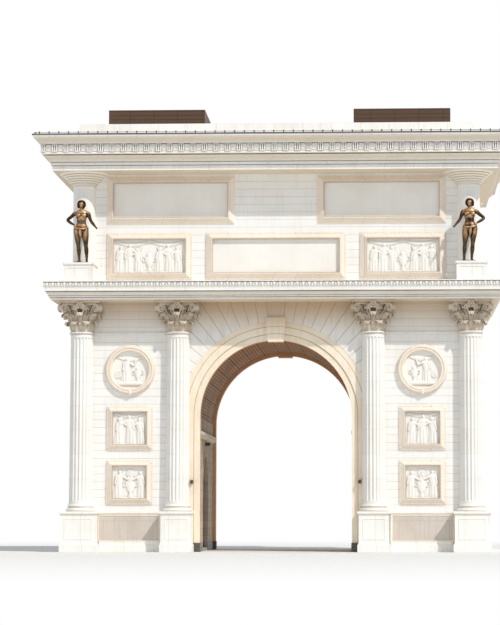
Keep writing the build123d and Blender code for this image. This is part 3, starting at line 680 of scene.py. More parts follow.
def placed(name, data):
    """A new object in the scene."""
    made = bpy.data.objects.new(name, data)
    bpy.context.scene.collection.objects.link(made)
    return made


def new_mesh(name, shape):
    points, faces = shape
    mesh = bpy.data.meshes.new(name)
    mesh.from_pydata(points.tolist(), [], faces)
    return mesh


def evaluated_shape(maker):
    """The shape that an object's modifiers make. The object is removed after that."""
    bpy.context.view_layer.update()
    graph = bpy.context.evaluated_depsgraph_get()
    mesh = bpy.data.meshes.new_from_object(maker.evaluated_get(graph), depsgraph=graph)
    shape = vertex_vectors(mesh), [list(face.vertices) for face in mesh.polygons]
    bpy.data.objects.remove(maker)
    bpy.data.meshes.remove(mesh)
    return shape


def piece(name, shape, material, stands_for=(), sharp=35, hollow=None, backs=None):
    """Makes a piece of the arch from a shape, with its finish and the CAD nodes that it stands for."""
    mesh = new_mesh(name, shape)
    made = placed(name, mesh)
    work = bmesh.new()
    work.from_mesh(mesh)
    loose = [point for point in work.verts if not point.link_faces]
    bmesh.ops.delete(work, geom=loose, context="VERTS")
    work.to_mesh(mesh)
    work.free()
    mesh.polygons.foreach_set("use_smooth", [True] * len(mesh.polygons))
    mesh.set_sharp_from_angle(angle=math.radians(sharp))
    if hollow:
        mark_hollows(mesh, *hollow)
    if backs:
        mark_backs(mesh, *backs)
    mesh.materials.append(material)
    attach(made, "root")
    if stands_for:
        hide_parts(*stands_for)


# What repeats along a wall


def repeat_tree():
    """The node tree that sets a unit along every path at an even pitch, with its back to the wall."""
    tree = bpy.data.node_groups.new("repeat_along_wall", "GeometryNodeTree")
    sockets = (
        ("Paths", "INPUT", "NodeSocketGeometry"), ("Pitch", "INPUT", "NodeSocketFloat"),
        ("Facing", "INPUT", "NodeSocketVector"), ("Unit", "INPUT", "NodeSocketObject"),
        ("Finish", "INPUT", "NodeSocketMaterial"), ("Result", "OUTPUT", "NodeSocketGeometry"),
    )
    for label, direction, kind in sockets:
        tree.interface.new_socket(label, in_out=direction, socket_type=kind)
    entry = add(tree, "NodeGroupInput").outputs
    spaced = add(
        tree, "GeometryNodeResampleCurve", {"Curve": entry["Paths"], "Length": entry["Pitch"]}, mode="LENGTH"
    ).outputs[0]
    tangent = add(tree, "GeometryNodeInputTangent").outputs[0]
    along = add(
        tree, "FunctionNodeAlignRotationToVector", {"Vector": tangent}, axis="X", pivot_axis="AUTO"
    ).outputs[0]
    facing = add(
        tree, "FunctionNodeAlignRotationToVector", {"Rotation": along, "Vector": entry["Facing"]},
        axis="Y", pivot_axis="X",
    ).outputs[0]
    unit = add(tree, "GeometryNodeObjectInfo", {"Object": entry["Unit"]}).outputs["Geometry"]
    set_out = add(
        tree, "GeometryNodeInstanceOnPoints", {"Points": spaced, "Instance": unit, "Rotation": facing}
    ).outputs[0]
    real = add(tree, "GeometryNodeRealizeInstances", {0: set_out}).outputs[0]
    finished = add(
        tree, "GeometryNodeSetMaterial", {"Geometry": real, "Material": entry["Finish"]}
    ).outputs[0]
    add(tree, "NodeGroupOutput", {"Result": finished})
    return tree


along_wall = repeat_tree()


def repeated(unit, paths, pitch, facing, material):
    """The unit repeated along straight paths on one wall, as a shape. A path is a start and an end."""
    unit_object = bpy.data.objects.new("unit", new_mesh("unit", unit))
    line = bpy.data.curves.new("paths", "CURVE")
    line.dimensions = "3D"
    for start, end in paths:
        start, end = Vector(start), Vector(end)
        step = (end - start).normalized() * pitch / 2
        spline = line.splines.new("POLY")
        spline.points.add(1)
        spline.points[0].co = (*(start + step), 1)
        spline.points[1].co = (*(end - step), 1)
    runner = placed("runner", line)
    modifier = runner.modifiers.new("repeat", "NODES")
    modifier.node_group = along_wall

    # A hair under the pitch, so that rounding never drops the last unit of a path
    values = {"Pitch": pitch * 0.999, "Facing": facing, "Unit": unit_object, "Finish": material}
    for socket in along_wall.interface.items_tree:
        if socket.name in values:
            modifier[socket.identifier] = values[socket.name]
    shape = evaluated_shape(runner)
    bpy.data.objects.remove(unit_object)
    return shape


def round_the_walls(unit, projection, height, pitch, material):
    """The unit repeated round all four sides at one level, standing out from the walls by the projection."""
    x, y = HALF_WIDTH + projection, HALF_DEPTH + projection
    front = repeated(unit, [((x, -y, height), (-x, -y, height))], pitch, (0.0, -1.0, 0.0), material)
    side = repeated(unit, [((-x, -y, height), (-x, y, height))], pitch, (-1.0, 0.0, 0.0), material)
    return joined([front_and_rear(front), front_and_rear(side)])


def chamfered_block(low, high, chamfer):
    """A block whose face away from the wall, on the unit's Y side, has chamfered edges."""
    (x0, y0, z0), (x1, y1, z1) = low, high
    rows = []
    for inset, depth in ((0, y0), (0, y1 - chamfer), (chamfer, y1)):
        rows.append(
            [(x0 + inset, depth, z0 + inset), (x1 - inset, depth, z0 + inset),
             (x1 - inset, depth, z1 - inset), (x0 + inset, depth, z1 - inset)]
        )
    points, faces = skin(rows, round_columns=True)
    return points, [face[::-1] for face in faces] + [[8, 11, 10, 9]]


def rectangle(half, high):
    """The corners of a rectangle about the origin, from the lower left round to the upper left."""
    return [(-half, -high), (half, -high), (half, high), (-half, high)]


def mitred_ring(profile):
    """A moulding round all four walls, from a closed profile of projections and heights."""
    rows = [
        [(x, y, z) for x, y in rectangle(HALF_WIDTH + out, HALF_DEPTH + out)] for out, z in profile
    ]
    return skin(rows, round_rows=True, round_columns=True)


def moulded_frame(x, z, width, rise, profile):
    """A mitred frame on the front wall, from a profile of insets and how far they stand out."""
    rows = [
        [(x + u, -HALF_DEPTH - stand, z + v) for u, v in rectangle(width / 2 - inset, rise / 2 - inset)]
        for inset, stand in profile
    ]
    return skin(rows, round_columns=True)


def frame_sides(x, z, width, rise, inset, stand):
    """The four sides of a frame on the front wall, as paths whose units point outwards."""
    corners = [
        (x + u, -HALF_DEPTH - stand, z + v) for u, v in rectangle(width / 2 - inset, rise / 2 - inset)
    ]
    from_upper_right = corners[2:] + corners[:2]
    return list(zip(from_upper_right, from_upper_right[1:] + from_upper_right[:1]))


# Entablature and great cornice, as rings round the four walls

entablature_profile = [
    (-WALL, ENTABLATURE_BOTTOM), (1.46, ENTABLATURE_BOTTOM), (1.48, 12.19), (1.48, 12.265), (1.40, 12.27),
    (1.40, 12.295), (1.55, 12.30), (1.56, 12.31), (1.56, 12.345), (1.50, 12.35), (1.50, 12.375),
    (1.59, 12.38), (1.60, 12.42), (1.645, 12.48), (1.68, 12.51), (1.68, 12.53), (1.54, 12.535),
    (1.54, 12.575), (1.74, 12.58), (1.74, 12.785), (1.755, 12.80), (1.765, 12.86), (1.77, 12.975),
    (1.70, 12.98), (1.70, 13.005), (1.82, 13.02), (1.82, ENTABLATURE_TOP), (-WALL, ENTABLATURE_TOP),
]
cornice_profile = [
    (-WALL, 18.45), (0.0, 18.45), (0.012, CORNICE_SOFFIT), (1.45, CORNICE_SOFFIT), (1.45, 18.73),
    (1.36, 18.735), (1.36, 18.755), (1.52, 18.76), (1.52, 18.885), (1.43, 18.89), (1.43, 18.92),
    (1.55, 18.925), (1.57, 18.99), (1.64, 19.07), (1.73, 19.12), (1.775, 19.17), (1.775, 19.20),
    (1.62, 19.205), (1.62, 19.245), (1.90, 19.25), (1.92, 19.26), (1.92, 19.335), (1.905, 19.35),
    (1.85, 19.35), (1.85, 19.70), (1.75, 19.705), (1.75, 19.745), (1.98, 19.75), (1.985, 19.79),
    (2.03, 19.85), (2.12, 19.91), (2.22, 19.97), (2.27, 20.02), (2.285, 20.06), (2.30, 20.06),
    (2.30, CORNICE_TOP), (-WALL, CORNICE_TOP),
]
piece(
    "entablature_mouldings", mitred_ring(entablature_profile), moulded_limestone,
    ("front_entablature", "rear_entablature", "left_entablature", "right_entablature"), sharp=25,
)
piece(
    "great_cornice_mouldings", mitred_ring(cornice_profile), moulded_limestone,
    ("front_cornice", "rear_cornice", "left_cornice", "right_cornice"), sharp=25,
)


def leaf_and_dart(pitch, rise, stand):
    """One leaf of a leaf-and-dart band, hanging with its tip down, and the dart beside it."""
    rows = []
    for t in np.linspace(0, 1, 6):
        half = 0.44 * pitch * max(1 - t**1.4, 0.04)
        swell = stand * (0.55 + 0.45 * t)
        rows.append(
            [(-half * s, swell * (0.35 + 0.65 * math.sqrt(max(1 - s * s, 0))), rise * (1 - t))
             for s in np.linspace(-1, 1, 7)]
        )
    back = chamfered_block((-0.5 * pitch, -0.02, 0.0), (0.5 * pitch, 0.002, rise), 0.001)
    dart = chamfered_block(
        (0.40 * pitch, 0.0, 0.06 * rise), (0.60 * pitch, stand, 0.8 * rise), 0.09 * pitch
    )
    return joined([skin(rows), back, dart])


def patera_and_triglyph(pitch):
    """A round patera with petals beside an upright block of three bars on a ledge."""
    angles = round_angles(24)
    rows = []
    for r, out in ((0.165, 0.0), (0.165, 0.028), (0.155, 0.04), (0.14, 0.034), (0.13, 0.016)):
        rows.append([(r * math.cos(a), out, r * math.sin(a)) for a in angles])
    for r in (0.11, 0.08, 0.05):
        out = 0.022 + 0.024 * (0.14 - r) / 0.09
        petals = [r * (1 + 0.16 * math.cos(6 * a)) for a in angles]
        rows.append([(p * math.cos(a), out, p * math.sin(a)) for p, a in zip(petals, angles)])
    rows.append([(0.03 * math.cos(a), 0.055, 0.03 * math.sin(a)) for a in angles])
    rows.append([(0.0, 0.06, 0.0)] * len(angles))
    points, faces = skin(rows, round_columns=True)
    patera = moved((points, [face[::-1] for face in faces]), 0, 0.012, 0.2)
    shapes = [patera, chamfered_block((-0.135, 0.0, 0.025), (0.135, 0.03, 0.375), 0.008)]
    centre = pitch / 2
    for bar in (-0.09, 0.0, 0.09):
        shapes.append(
            chamfered_block((centre + bar - 0.027, 0.0, 0.045), (centre + bar + 0.027, 0.11, 0.375), 0.01)
        )
    shapes += [
        chamfered_block((centre - 0.115, -0.004, 0.04), (centre + 0.115, 0.004, 0.38), 0.001),
        chamfered_block((centre - 0.135, 0.0, 0.0), (centre + 0.135, 0.125, 0.045), 0.012),
        chamfered_block((centre - 0.13, 0.0, 0.372), (centre + 0.13, 0.12, 0.389), 0.006),
    ]
    return joined(shapes)


def edge_stud():
    """A turned metal stud that stands on the cornice's edge."""
    profile = [
        (0.035, 0.0), (0.04, 0.015), (0.024, 0.025), (0.022, 0.06), (0.036, 0.07), (0.04, 0.095),
        (0.028, 0.115), (0.006, 0.125),
    ]
    return lathe(profile, 12)


LEAF_PITCH = 0.28
LEAF_LEVEL = 12.80
LEAF_PROJECTION = 1.75
leaf = leaf_and_dart(LEAF_PITCH, 0.19, 0.08)
piece(
    "leaf_and_dart_band", round_the_walls(leaf, LEAF_PROJECTION, LEAF_LEVEL, LEAF_PITCH, band_limestone),
    band_limestone, backs=(LEAF_PROJECTION, 0.06),
)

PATERA_PITCH = 0.557
PATERA_LEVEL = 19.35
PATERA_PROJECTION = 1.85
patera = patera_and_triglyph(PATERA_PITCH)
piece(
    "patera_and_triglyph_band",
    round_the_walls(patera, PATERA_PROJECTION, PATERA_LEVEL, PATERA_PITCH, band_limestone),
    band_limestone, backs=(PATERA_PROJECTION, 0.03),
)

STUD_PITCH = 0.47
STUD_FOOT = 20.19
STUD_PROJECTION = 2.22
lead_edge = mitred_ring([
    (2.10, CORNICE_TOP), (2.32, 20.13), (2.335, 20.14), (2.335, 20.185), (2.32, 20.195), (2.12, 20.2),
    (2.10, STUD_FOOT),
])
studs = round_the_walls(edge_stud(), STUD_PROJECTION, STUD_FOOT, STUD_PITCH, weathered_lead)
wire = mitred_ring([(2.21, 20.255), (2.23, 20.255), (2.23, 20.275), (2.21, 20.275)])
piece(
    "lead_edge_with_studs", joined([lead_edge, studs, wire]), weathered_lead,
    hollow=(2, 0.03),
)


# Framed panels and their reliefs

# A frame rises from its outer edge over a leafy slope to a flat band, and drops to the field
SLOPE_SHARE = 0.72
FRAME_TOP = 0.19
PIER_BORDER = 0.33
ATTIC_BORDER = 0.36
LEAF_INSET = 0.085
LEAF_STAND = 0.07


def frame_profile(border):
    """Insets and how far they stand out, from the frame's outer edge to its field."""
    slope = SLOPE_SHARE * border
    return [
        (0.0, 0.0), (0.0, 0.026), (0.006, 0.03), (0.02, 0.03), (slope - 0.012, FRAME_TOP - 0.024),
        (slope - 0.004, FRAME_TOP - 0.03), (slope, FRAME_TOP - 0.006), (slope + 0.006, FRAME_TOP),
        (border - 0.045, FRAME_TOP), (border - 0.036, FRAME_TOP - 0.012), (border - 0.02, FRAME_TOP - 0.014),
        (border - 0.008, FRAME_TOP - 0.02), (border, 0.008),
    ]


# A panel of the front has its middle across and up, its width, its height and the width of its border
PIER_PANELS = [(-PIER_MIDDLE, z, 2.29, 2.19, PIER_BORDER) for z in (3.38, 6.005)]
LOWER_ATTIC = (-6.23, 14.45, 4.22, 2.34, ATTIC_BORDER)
CENTRE_ATTIC = (0.0, 14.45, 6.90, 2.34, ATTIC_BORDER)
UPPER_ATTIC = (-5.19, 17.22, 6.32, 2.39, ATTIC_BORDER)


def edging_leaf():
    """One small leaf that lies on the slope along a frame's outer edge, with its tip outwards."""
    rows = []
    for t in np.linspace(0, 1, 5):
        half = 0.052 * math.sqrt(max(1 - t**2.5, 0.02))
        rows.append(
            [(-half * s, 0.022 * math.sqrt(max(1 - s * s, 0)) - 0.018 * t, 0.085 * t)
             for s in np.linspace(-1, 1, 5)]
        )
    return skin(rows)


# The upper attic frames have no leaves on their slope
leafy_panels = PIER_PANELS + [LOWER_ATTIC, CENTRE_ATTIC]
frames, leaf_paths = [], []
for x, z, width, rise, border in leafy_panels + [UPPER_ATTIC]:
    moulding = moulded_frame(x, z, width, rise, frame_profile(border))
    frames.extend([moulding, mirrored(moulding)] if x else [moulding])
for x, z, width, rise, border in leafy_panels:
    for middle in (x, -x) if x else (x,):
        leaf_paths.extend(frame_sides(middle, z, width, rise, LEAF_INSET, LEAF_STAND))
frames.append(repeated(edging_leaf(), leaf_paths, 0.127, (0.0, -1.0, 0.0), frame_limestone))
piece(
    "panel_frames", front_and_rear(joined(frames)), frame_limestone, hollow=(3, 0.02),
    sharp=30,
)


# Carving, as heights over a flat field with u across and v up


def limb_rise(u, v, start, end, start_radius, end_radius, rise):
    """The height of a rounded limb of the carving over the field."""
    du, dv = end[0] - start[0], end[1] - start[1]
    share = np.clip(((u - start[0]) * du + (v - start[1]) * dv) / (du * du + dv * dv + 1e-9), 0, 1)
    away = np.hypot(u - start[0] - share * du, v - start[1] - share * dv)
    radius = start_radius + share * (end_radius - start_radius)
    return rise * np.sqrt(np.clip(1 - (away / radius) ** 2, 0, None))


def robed_figure(u, v, middle, foot, tall, lean, rise):
    """A standing figure in a long robe with upright folds, one arm raised to the side that it leans to."""
    neck = middle + 0.04 * lean * tall

    def place(start, across, up):
        return start + across * lean * tall, foot + up * tall

    hip = place(middle, 0, 0.48)
    folds = 1 + 0.22 * np.sin((u - middle) * 55 / tall + 6 * lean)
    robe = limb_rise(u, v, place(middle, -0.03, 0.04), hip, 0.19 * tall, 0.13 * tall, rise) * folds
    limbs = [
        (hip, place(neck, 0, 0.74), 0.11, 0.14, 1.1),
        (place(neck, 0, 0.9), place(neck, 0, 0.93), 0.058, 0.062, 1.25),
        (place(neck, 0.1, 0.76), place(neck, 0.28, 0.66), 0.05, 0.04, 1.2),
        (place(neck, 0.28, 0.66), place(neck, 0.36, 0.86), 0.04, 0.03, 1.2),
        (place(neck, -0.12, 0.76), place(neck, -0.17, 0.5), 0.05, 0.035, 1.1),
    ]
    parts = [
        limb_rise(u, v, start, end, start_radius * tall, end_radius * tall, rise * swell)
        for start, end, start_radius, end_radius, swell in limbs
    ]
    return np.maximum.reduce([robe] + parts)


def urn(u, v, middle, foot, tall, rise):
    """A two-handled urn on a foot."""
    parts = []
    for low, high, low_radius, high_radius in (
        (0.42, 0.66, 0.2, 0.27), (0.84, 0.95, 0.12, 0.17), (0.0, 0.3, 0.15, 0.06)
    ):
        start, end = (middle, foot + low * tall), (middle, foot + high * tall)
        parts.append(limb_rise(u, v, start, end, low_radius * tall, high_radius * tall, rise))
    for side in (-1, 1):
        from_handle = np.hypot((u - middle - side * 0.3 * tall) / 0.8, v - foot - 0.68 * tall)
        parts.append(np.where(np.abs(from_handle - 0.13 * tall) < 0.025 * tall, 0.6 * rise, 0.0))
    return np.maximum.reduce(parts)


def garland(u, v, left, right, top, sag, rise):
    """A hanging garland of leaves."""
    share = np.clip((u - left) / (right - left), 0, 1)
    middle = top - sag * 4 * share * (1 - share)
    thick = 0.05 + 0.05 * 4 * share * (1 - share)
    away = np.hypot(v - middle, np.maximum(np.maximum(left - u, u - right), 0))
    leaves = 1 + 0.3 * np.sin(u * 70) * np.cos(v * 60)
    return rise * np.sqrt(np.clip(1 - (away / thick) ** 2, 0, None)) * leaves


def scroll_rise(u, v, x, y, radius, turns, hand, rise):
    """A flat spiral scroll."""
    du, dv = hand * (u - x), v - y
    away = np.hypot(du, dv)
    angle = np.arctan2(dv, du) / (2 * math.pi)
    ridge = np.abs((away / radius * turns - angle) % 1 - 0.5) * 2
    return np.where(away < radius, rise * np.clip(1.15 - ridge, 0, 1) ** 0.5, 0)


UPPER_PIER_CARVING = (
    (robed_figure, -0.5, -0.76, 1.32, 1, 0.062),
    (robed_figure, 0.02, -0.76, 1.44, -1, 0.07),
    (robed_figure, 0.52, -0.76, 1.28, -1, 0.062),
    (garland, -0.75, 0.75, 0.72, 0.14, 0.035),
    (limb_rise, (-0.8, -0.78), (0.8, -0.78), 0.05, 0.05, 0.05),
)
LOWER_PIER_CARVING = (
    (urn, 0.05, -0.72, 0.9, 0.07),
    (robed_figure, -0.52, -0.76, 1.36, 1, 0.064),
    (robed_figure, 0.58, -0.76, 1.3, -1, 0.064),
    (scroll_rise, 0.05, 0.42, 0.2, 2, 1, 0.04),
    (limb_rise, (-0.8, -0.78), (0.8, -0.78), 0.05, 0.05, 0.05),
)
SIDE_ATTIC_CARVING = (
    (robed_figure, -1.45, -0.78, 1.3, 1, 0.06),
    (robed_figure, -1.02, -0.78, 1.42, 1, 0.06),
    (robed_figure, -0.55, -0.78, 1.2, -1, 0.06),
    (robed_figure, 0.5, -0.78, 1.25, 1, 0.06),
    (robed_figure, 0.98, -0.78, 1.4, -1, 0.06),
    (robed_figure, 1.42, -0.78, 1.28, -1, 0.06),
    (urn, 0.0, -0.72, 0.82, 0.07),
    (garland, -1.6, -0.1, 0.72, 0.16, 0.035),
    (garland, 0.1, 1.6, 0.72, 0.16, 0.035),
    (limb_rise, (-1.72, -0.79), (1.72, -0.79), 0.05, 0.05, 0.05),
)
MEDALLION_CARVING = (
    (robed_figure, -0.2, -0.58, 1.2, 1, 0.08),
    (urn, 0.38, -0.58, 0.66, 0.07),
    (scroll_rise, -0.58, -0.25, 0.17, 2, -1, 0.045),
    (garland, -0.6, 0.6, 0.62, 0.12, 0.04),
    (limb_rise, (-0.52, -0.66), (0.52, -0.66), 0.12, 0.12, 0.09),
)
BARE = ()


def carved_height(u, v, carving):
    """How far a carving stands out from its field. Each part is a shape above and its sizes."""
    parts = [carve(u, v, *sizes) for carve, *sizes in carving]
    return np.maximum.reduce([np.zeros_like(u)] + parts)


def relief(x, z, width, rise, border, carving, step):
    """A field on the front wall with its carving, which laps under the inner edge of its frame."""
    half, high = width / 2 - border + 0.004, rise / 2 - border + 0.004
    columns, rows = max(int(2 * half / step), 2), max(int(2 * high / step), 2)
    u, v = np.meshgrid(np.linspace(-half, half, columns), np.linspace(-high, high, rows))
    height = carved_height(u, v, carving)
    return skin(np.stack([x + u, -HALF_DEPTH - 0.01 - height, z + v], axis=2))


PIER_STEP = 0.024
ATTIC_STEP = 0.027
BARE_STEP = 0.5
pier_fields = [
    relief(*panel, carving, PIER_STEP)
    for panel, carving in zip(PIER_PANELS, (LOWER_PIER_CARVING, UPPER_PIER_CARVING))
]
piece(
    "pier_reliefs", four_times(joined(pier_fields)), relief_limestone, ("pier_panels",),
    hollow=(6, 0.02), sharp=80,
)
side_fields = [
    relief(*LOWER_ATTIC, SIDE_ATTIC_CARVING, ATTIC_STEP), relief(*UPPER_ATTIC, BARE, BARE_STEP),
]
centre_field = relief(*CENTRE_ATTIC, BARE, BARE_STEP)
attic_fields = joined([both_sides(joined(side_fields)), centre_field])
piece(
    "attic_reliefs", front_and_rear(attic_fields), relief_limestone, ("attic_panels",),
    hollow=(6, 0.02), sharp=80,
)


# Medallions

MEDALLION_ANGLES = round_angles(192)


def medallion_ring():
    """The moulded ring of a medallion with its clasp, on the left pier of the front."""
    profile = [
        (1.24, 0.0), (1.24, 0.07), (1.225, 0.0924), (1.205, 0.098), (1.195, 0.1288), (1.17, 0.175),
        (1.13, 0.203), (1.09, 0.21), (1.06, 0.1988), (1.045, 0.1708), (1.035, 0.168), (1.03, 0.189),
        (1.02, 0.196), (0.95, 0.196), (0.94, 0.1848), (0.93, 0.14), (0.915, 0.07), (0.905, 0.0168),
    ]
    rows = []
    for radius, out in profile:
        bead = 0.026 if radius > 1.16 and out else 0.0
        rows.append(
            [(radius * math.cos(a), -out - bead * math.cos(64 * a), radius * math.sin(a))
             for a in MEDALLION_ANGLES]
        )
    clasp = chamfered_block((-0.08, 0.0, -0.1), (0.08, 0.23, 0.16), 0.035)
    clasp = moved(turned(clasp, 180), 0, 0, -1.13)
    ring = joined([skin(rows, round_columns=True), clasp])
    return moved(ring, -PIER_MIDDLE, -HALF_DEPTH, MEDALLION_LEVEL)


def medallion_disc():
    """The sunk disc of a medallion with its carving."""
    rows = []
    for radius in np.linspace(0.91, 0.02, 38):
        u, v = radius * np.cos(MEDALLION_ANGLES), radius * np.sin(MEDALLION_ANGLES)
        rows.append(np.stack([u, -0.012 - carved_height(u, v, MEDALLION_CARVING), v], axis=1).tolist())
    points, faces = skin(rows, round_columns=True)
    faces.append(list(range(len(points) - len(MEDALLION_ANGLES), len(points))))
    return moved((points, faces), -PIER_MIDDLE, -HALF_DEPTH, MEDALLION_LEVEL)


piece(
    "medallion_rings", four_times(medallion_ring()), frame_limestone, ("medallions",),
    hollow=(3, 0.014), sharp=50,
)
piece(
    "carved_medallion_discs", four_times(medallion_disc()), relief_limestone,
    hollow=(5, 0.025), sharp=50,
)


# Pedestals of the columns and the dados between them

PEDESTAL_HALVES = (0.735, 0.85)
PEDESTAL_DEPTH = 0.85
DIE_PANEL = [
    (0.0, 0.0), (0.004, 0.012), (0.016, 0.018), (0.03, 0.016), (0.038, 0.006), (0.055, 0.004), (0.06, -0.004),
]
DADO_LEVEL = 1.16
DADO_STAND = 0.11
DADO_FRAME = [
    (0.0, 0.0), (0.004, 0.014), (0.02, 0.02), (0.055, 0.02), (0.062, 0.012), (0.075, 0.01), (0.08, 0.003),
]


def pedestal(x, half):
    """A moulded pedestal on the left of the front, with a framed panel on the face of its die."""
    profile = [
        (0.06, 0.0), (0.06, 0.345), (0.05, 0.36), (0.03, 0.375), (0.022, 0.41), (0.005, 0.435), (0.0, 0.45),
        (0.0, 1.755), (0.014, 1.765), (0.016, 1.785), (0.03, 1.82), (0.058, 1.845), (0.07, 1.85),
        (0.07, 1.935), (0.06, 1.955), (0.05, PEDESTAL_TOP),
    ]
    rows = [[(u, v, z) for u, v in rectangle(half + out, PEDESTAL_DEPTH + out)] for out, z in profile]
    points, faces = skin(rows, round_columns=True)
    faces.append(list(range(len(points) - 4, len(points))))
    block = outside_walls(moved((points, faces), -x, -COLUMN_Y, 0))
    stand = COLUMN_Y + PEDESTAL_DEPTH - HALF_DEPTH
    die_panel = [(inset, stand + out) for inset, out in DIE_PANEL]
    return joined([block, moulded_frame(-x, 1.1, 2 * half - 0.36, 1.02, die_panel)])


pedestals = [pedestal(x, half) for x, half in zip(COLUMN_X, PEDESTAL_HALVES)]
piece(
    "moulded_pedestals", four_times(joined(pedestals)), moulded_limestone, ("pedestals",),
    sharp=30,
)
dado_profile = [(inset, DADO_STAND + out) for inset, out in DADO_FRAME]
piece(
    "dado_slab_frames", four_times(moulded_frame(-PIER_MIDDLE, DADO_LEVEL, 3.0, 1.28, dado_profile)),
    frame_limestone, hollow=(2, 0.02), sharp=30,
)
dado_slab = skin([
    [(-PIER_MIDDLE + side * 1.425, -HALF_DEPTH - 0.1135, DADO_LEVEL + high * 0.565) for side in (-1, 1)]
    for high in (-1, 1)
])
piece("dado_slabs", four_times(dado_slab), dado_stone_slabs)


# Columns

FLUTES = 20
FLUTE_DEPTH = 0.06
FLUTE_END = 0.075


def fluted_shaft():
    """A tapering shaft with round-ended flutes between fillets, and its astragal."""
    angles = round_angles(FLUTES * 8)
    across = (angles * FLUTES / (2 * math.pi)) % 1 - 0.5
    foot, head = BASE_TOP + 0.19, ASTRAGAL_BOTTOM - 0.16
    levels = [BASE_TOP, BASE_TOP + 0.03, BASE_TOP + 0.07, foot - 0.005]
    levels += list(foot + FLUTE_END * (1 - np.cos(np.linspace(0, math.pi / 2, 6))))
    levels += [3.6, 5.4, 7.2, 9.0]
    levels += list(head - FLUTE_END * (1 - np.cos(np.linspace(math.pi / 2, 0, 6))))
    levels += [head + 0.005, ASTRAGAL_BOTTOM - 0.02]
    rows = []
    for z in levels:
        radius = 0.575 - 0.025 * (z - BASE_TOP) / (ASTRAGAL_BOTTOM - BASE_TOP)
        flare = 0.03 * max(0.0, 1 - (z - BASE_TOP) / 0.07) ** 2
        end = min(z - foot, head - z)
        open_share = math.sqrt(max(0.0, 1 - (1 - min(end / FLUTE_END, 1.0)) ** 2)) if end >= 0 else 0.0
        half = 0.38 * open_share
        cut = 0 * across
        if half:
            cut = FLUTE_DEPTH * np.sqrt(np.clip(1 - (across / max(half, 1e-6)) ** 2, 0, None))
        r = radius + flare - cut
        rows.append(np.stack([r * np.cos(angles), r * np.sin(angles), np.full_like(r, z)], axis=1))
    shaft = skin(np.array(rows), round_columns=True)
    astragal = [
        (0.55, 10.565), (0.575, 10.565), (0.575, 10.59), (0.59, 10.60), (0.612, 10.62), (0.617, 10.64),
        (0.612, 10.66), (0.59, SHAFT_TOP), (0.5, SHAFT_TOP),
    ]
    return joined([shaft, lathe(astragal, 64)])


def column_base():
    """An attic base: a wide torus, a hollow between fillets and a narrow torus."""
    profile = [(0.70, PEDESTAL_TOP), (0.70, 1.962)]
    profile += [(0.66 + 0.065 * math.cos(a), 2.03 + 0.065 * math.sin(a)) for a in np.linspace(-1.5, 1.5, 9)]
    profile += [(0.65, 2.10), (0.65, 2.115)]
    profile += [(0.655 - 0.045 * math.cos(a), 2.145 + 0.03 * math.sin(a)) for a in np.linspace(-1.4, 1.4, 6)]
    profile += [(0.62, 2.175), (0.62, 2.185)]
    profile += [(0.60 + 0.042 * math.cos(a), 2.222 + 0.036 * math.sin(a)) for a in np.linspace(-1.5, 1.5, 8)]
    profile += [(0.60, 2.262), (0.60, BASE_TOP)]
    return lathe(profile, 64)


def acanthus(path, half_width, lobes):
    """A leaf that stands against the bell and curls boldly over: ribbed, with a lobed edge."""
    line = smooth_line(path, 15)
    rows = []
    for number, (reach, height) in enumerate(line):
        t = number / (len(line) - 1)
        belly = 0.34 * math.sin(math.pi * min(t / 0.9, 1.0))
        tip = 0.34 * max(t - 0.78, 0) / 0.22
        half = half_width * (0.72 + belly - tip) * (1 + 0.15 * math.cos(2 * math.pi * lobes * t))
        row = []
        for s in np.linspace(-1, 1, 9):
            rib = 0.022 * math.cos(2.5 * math.pi * s) - 0.09 * half_width / 0.2 * s * s * (1 - 0.7 * t)
            row.append((reach + rib, half * s, height))
        rows.append(row)
    return thickened(rows, 0.035)


def ribbon(line, width, thickness, taper):
    """A band with raised edges that follows a line of (out, up) points, in the upright plane through it."""
    line = np.asarray(line, float)
    along = np.gradient(line, axis=0)
    along /= np.linalg.norm(along, axis=1, keepdims=True) + 1e-9
    normal = np.stack([-along[:, 1], along[:, 0]], axis=1)
    section = [
        (-1, -0.5), (-0.55, -0.5), (0.55, -0.5), (1, -0.5), (1, 0.9), (0.55, 0.2), (-0.55, 0.2), (-1, 0.9),
    ]
    rows = []
    for number, (out, up) in enumerate(line):
        grow = 1 - taper * number / (len(line) - 1)
        rows.append(
            [(out + normal[number, 0] * b * thickness * grow, a * width / 2 * grow,
              up + normal[number, 1] * b * thickness * grow) for a, b in section]
        )
    return tube(rows)


def scroll_line(stalk, centre, radius, turns, hand):
    """A stalk that rises and winds into a spiral."""
    angles = np.linspace(0, 2 * math.pi * turns, 34)
    shrink = radius * (1 - 0.88 * angles / angles[-1])
    spiral = np.stack(
        [centre[0] + hand * shrink * np.sin(angles), centre[1] + shrink * np.cos(angles)], axis=1
    )
    return np.vstack([smooth_line(list(stalk) + [spiral[0]], 10)[:-1], spiral])


def abacus():
    """The hollow-sided slab of a capital, with a cavetto under a rounded edge and cut corners."""
    half, hollow, cut = 1.06, 0.17, 0.08
    radius = (half**2 + hollow**2) / (2 * hollow)
    side = [
        (x, -(half - hollow + radius - math.sqrt(radius**2 - x * x)))
        for x in np.linspace(-half + cut, half - cut, 13)
    ]
    plan = []
    for angle in [number * math.pi / 2 for number in range(4)]:
        cos, sin = math.cos(angle), math.sin(angle)
        plan.extend((x * cos - y * sin, x * sin + y * cos) for x, y in side)
    edge = [
        (0.5, 1.29), (0.13, 1.29), (0.125, 1.32), (0.10, 1.35), (0.06, 1.365), (0.05, 1.37), (0.05, 1.39),
        (0.02, 1.40), (0.0, 1.42), (0.0, 1.47), (0.02, 1.50), (0.6, 1.50),
    ]
    rows = []
    for inset, z in edge:
        rows.append([(x * (1 - inset / half), y * (1 - inset / half), SHAFT_TOP + z) for x, y in plan])
    return skin(rows, round_columns=True)


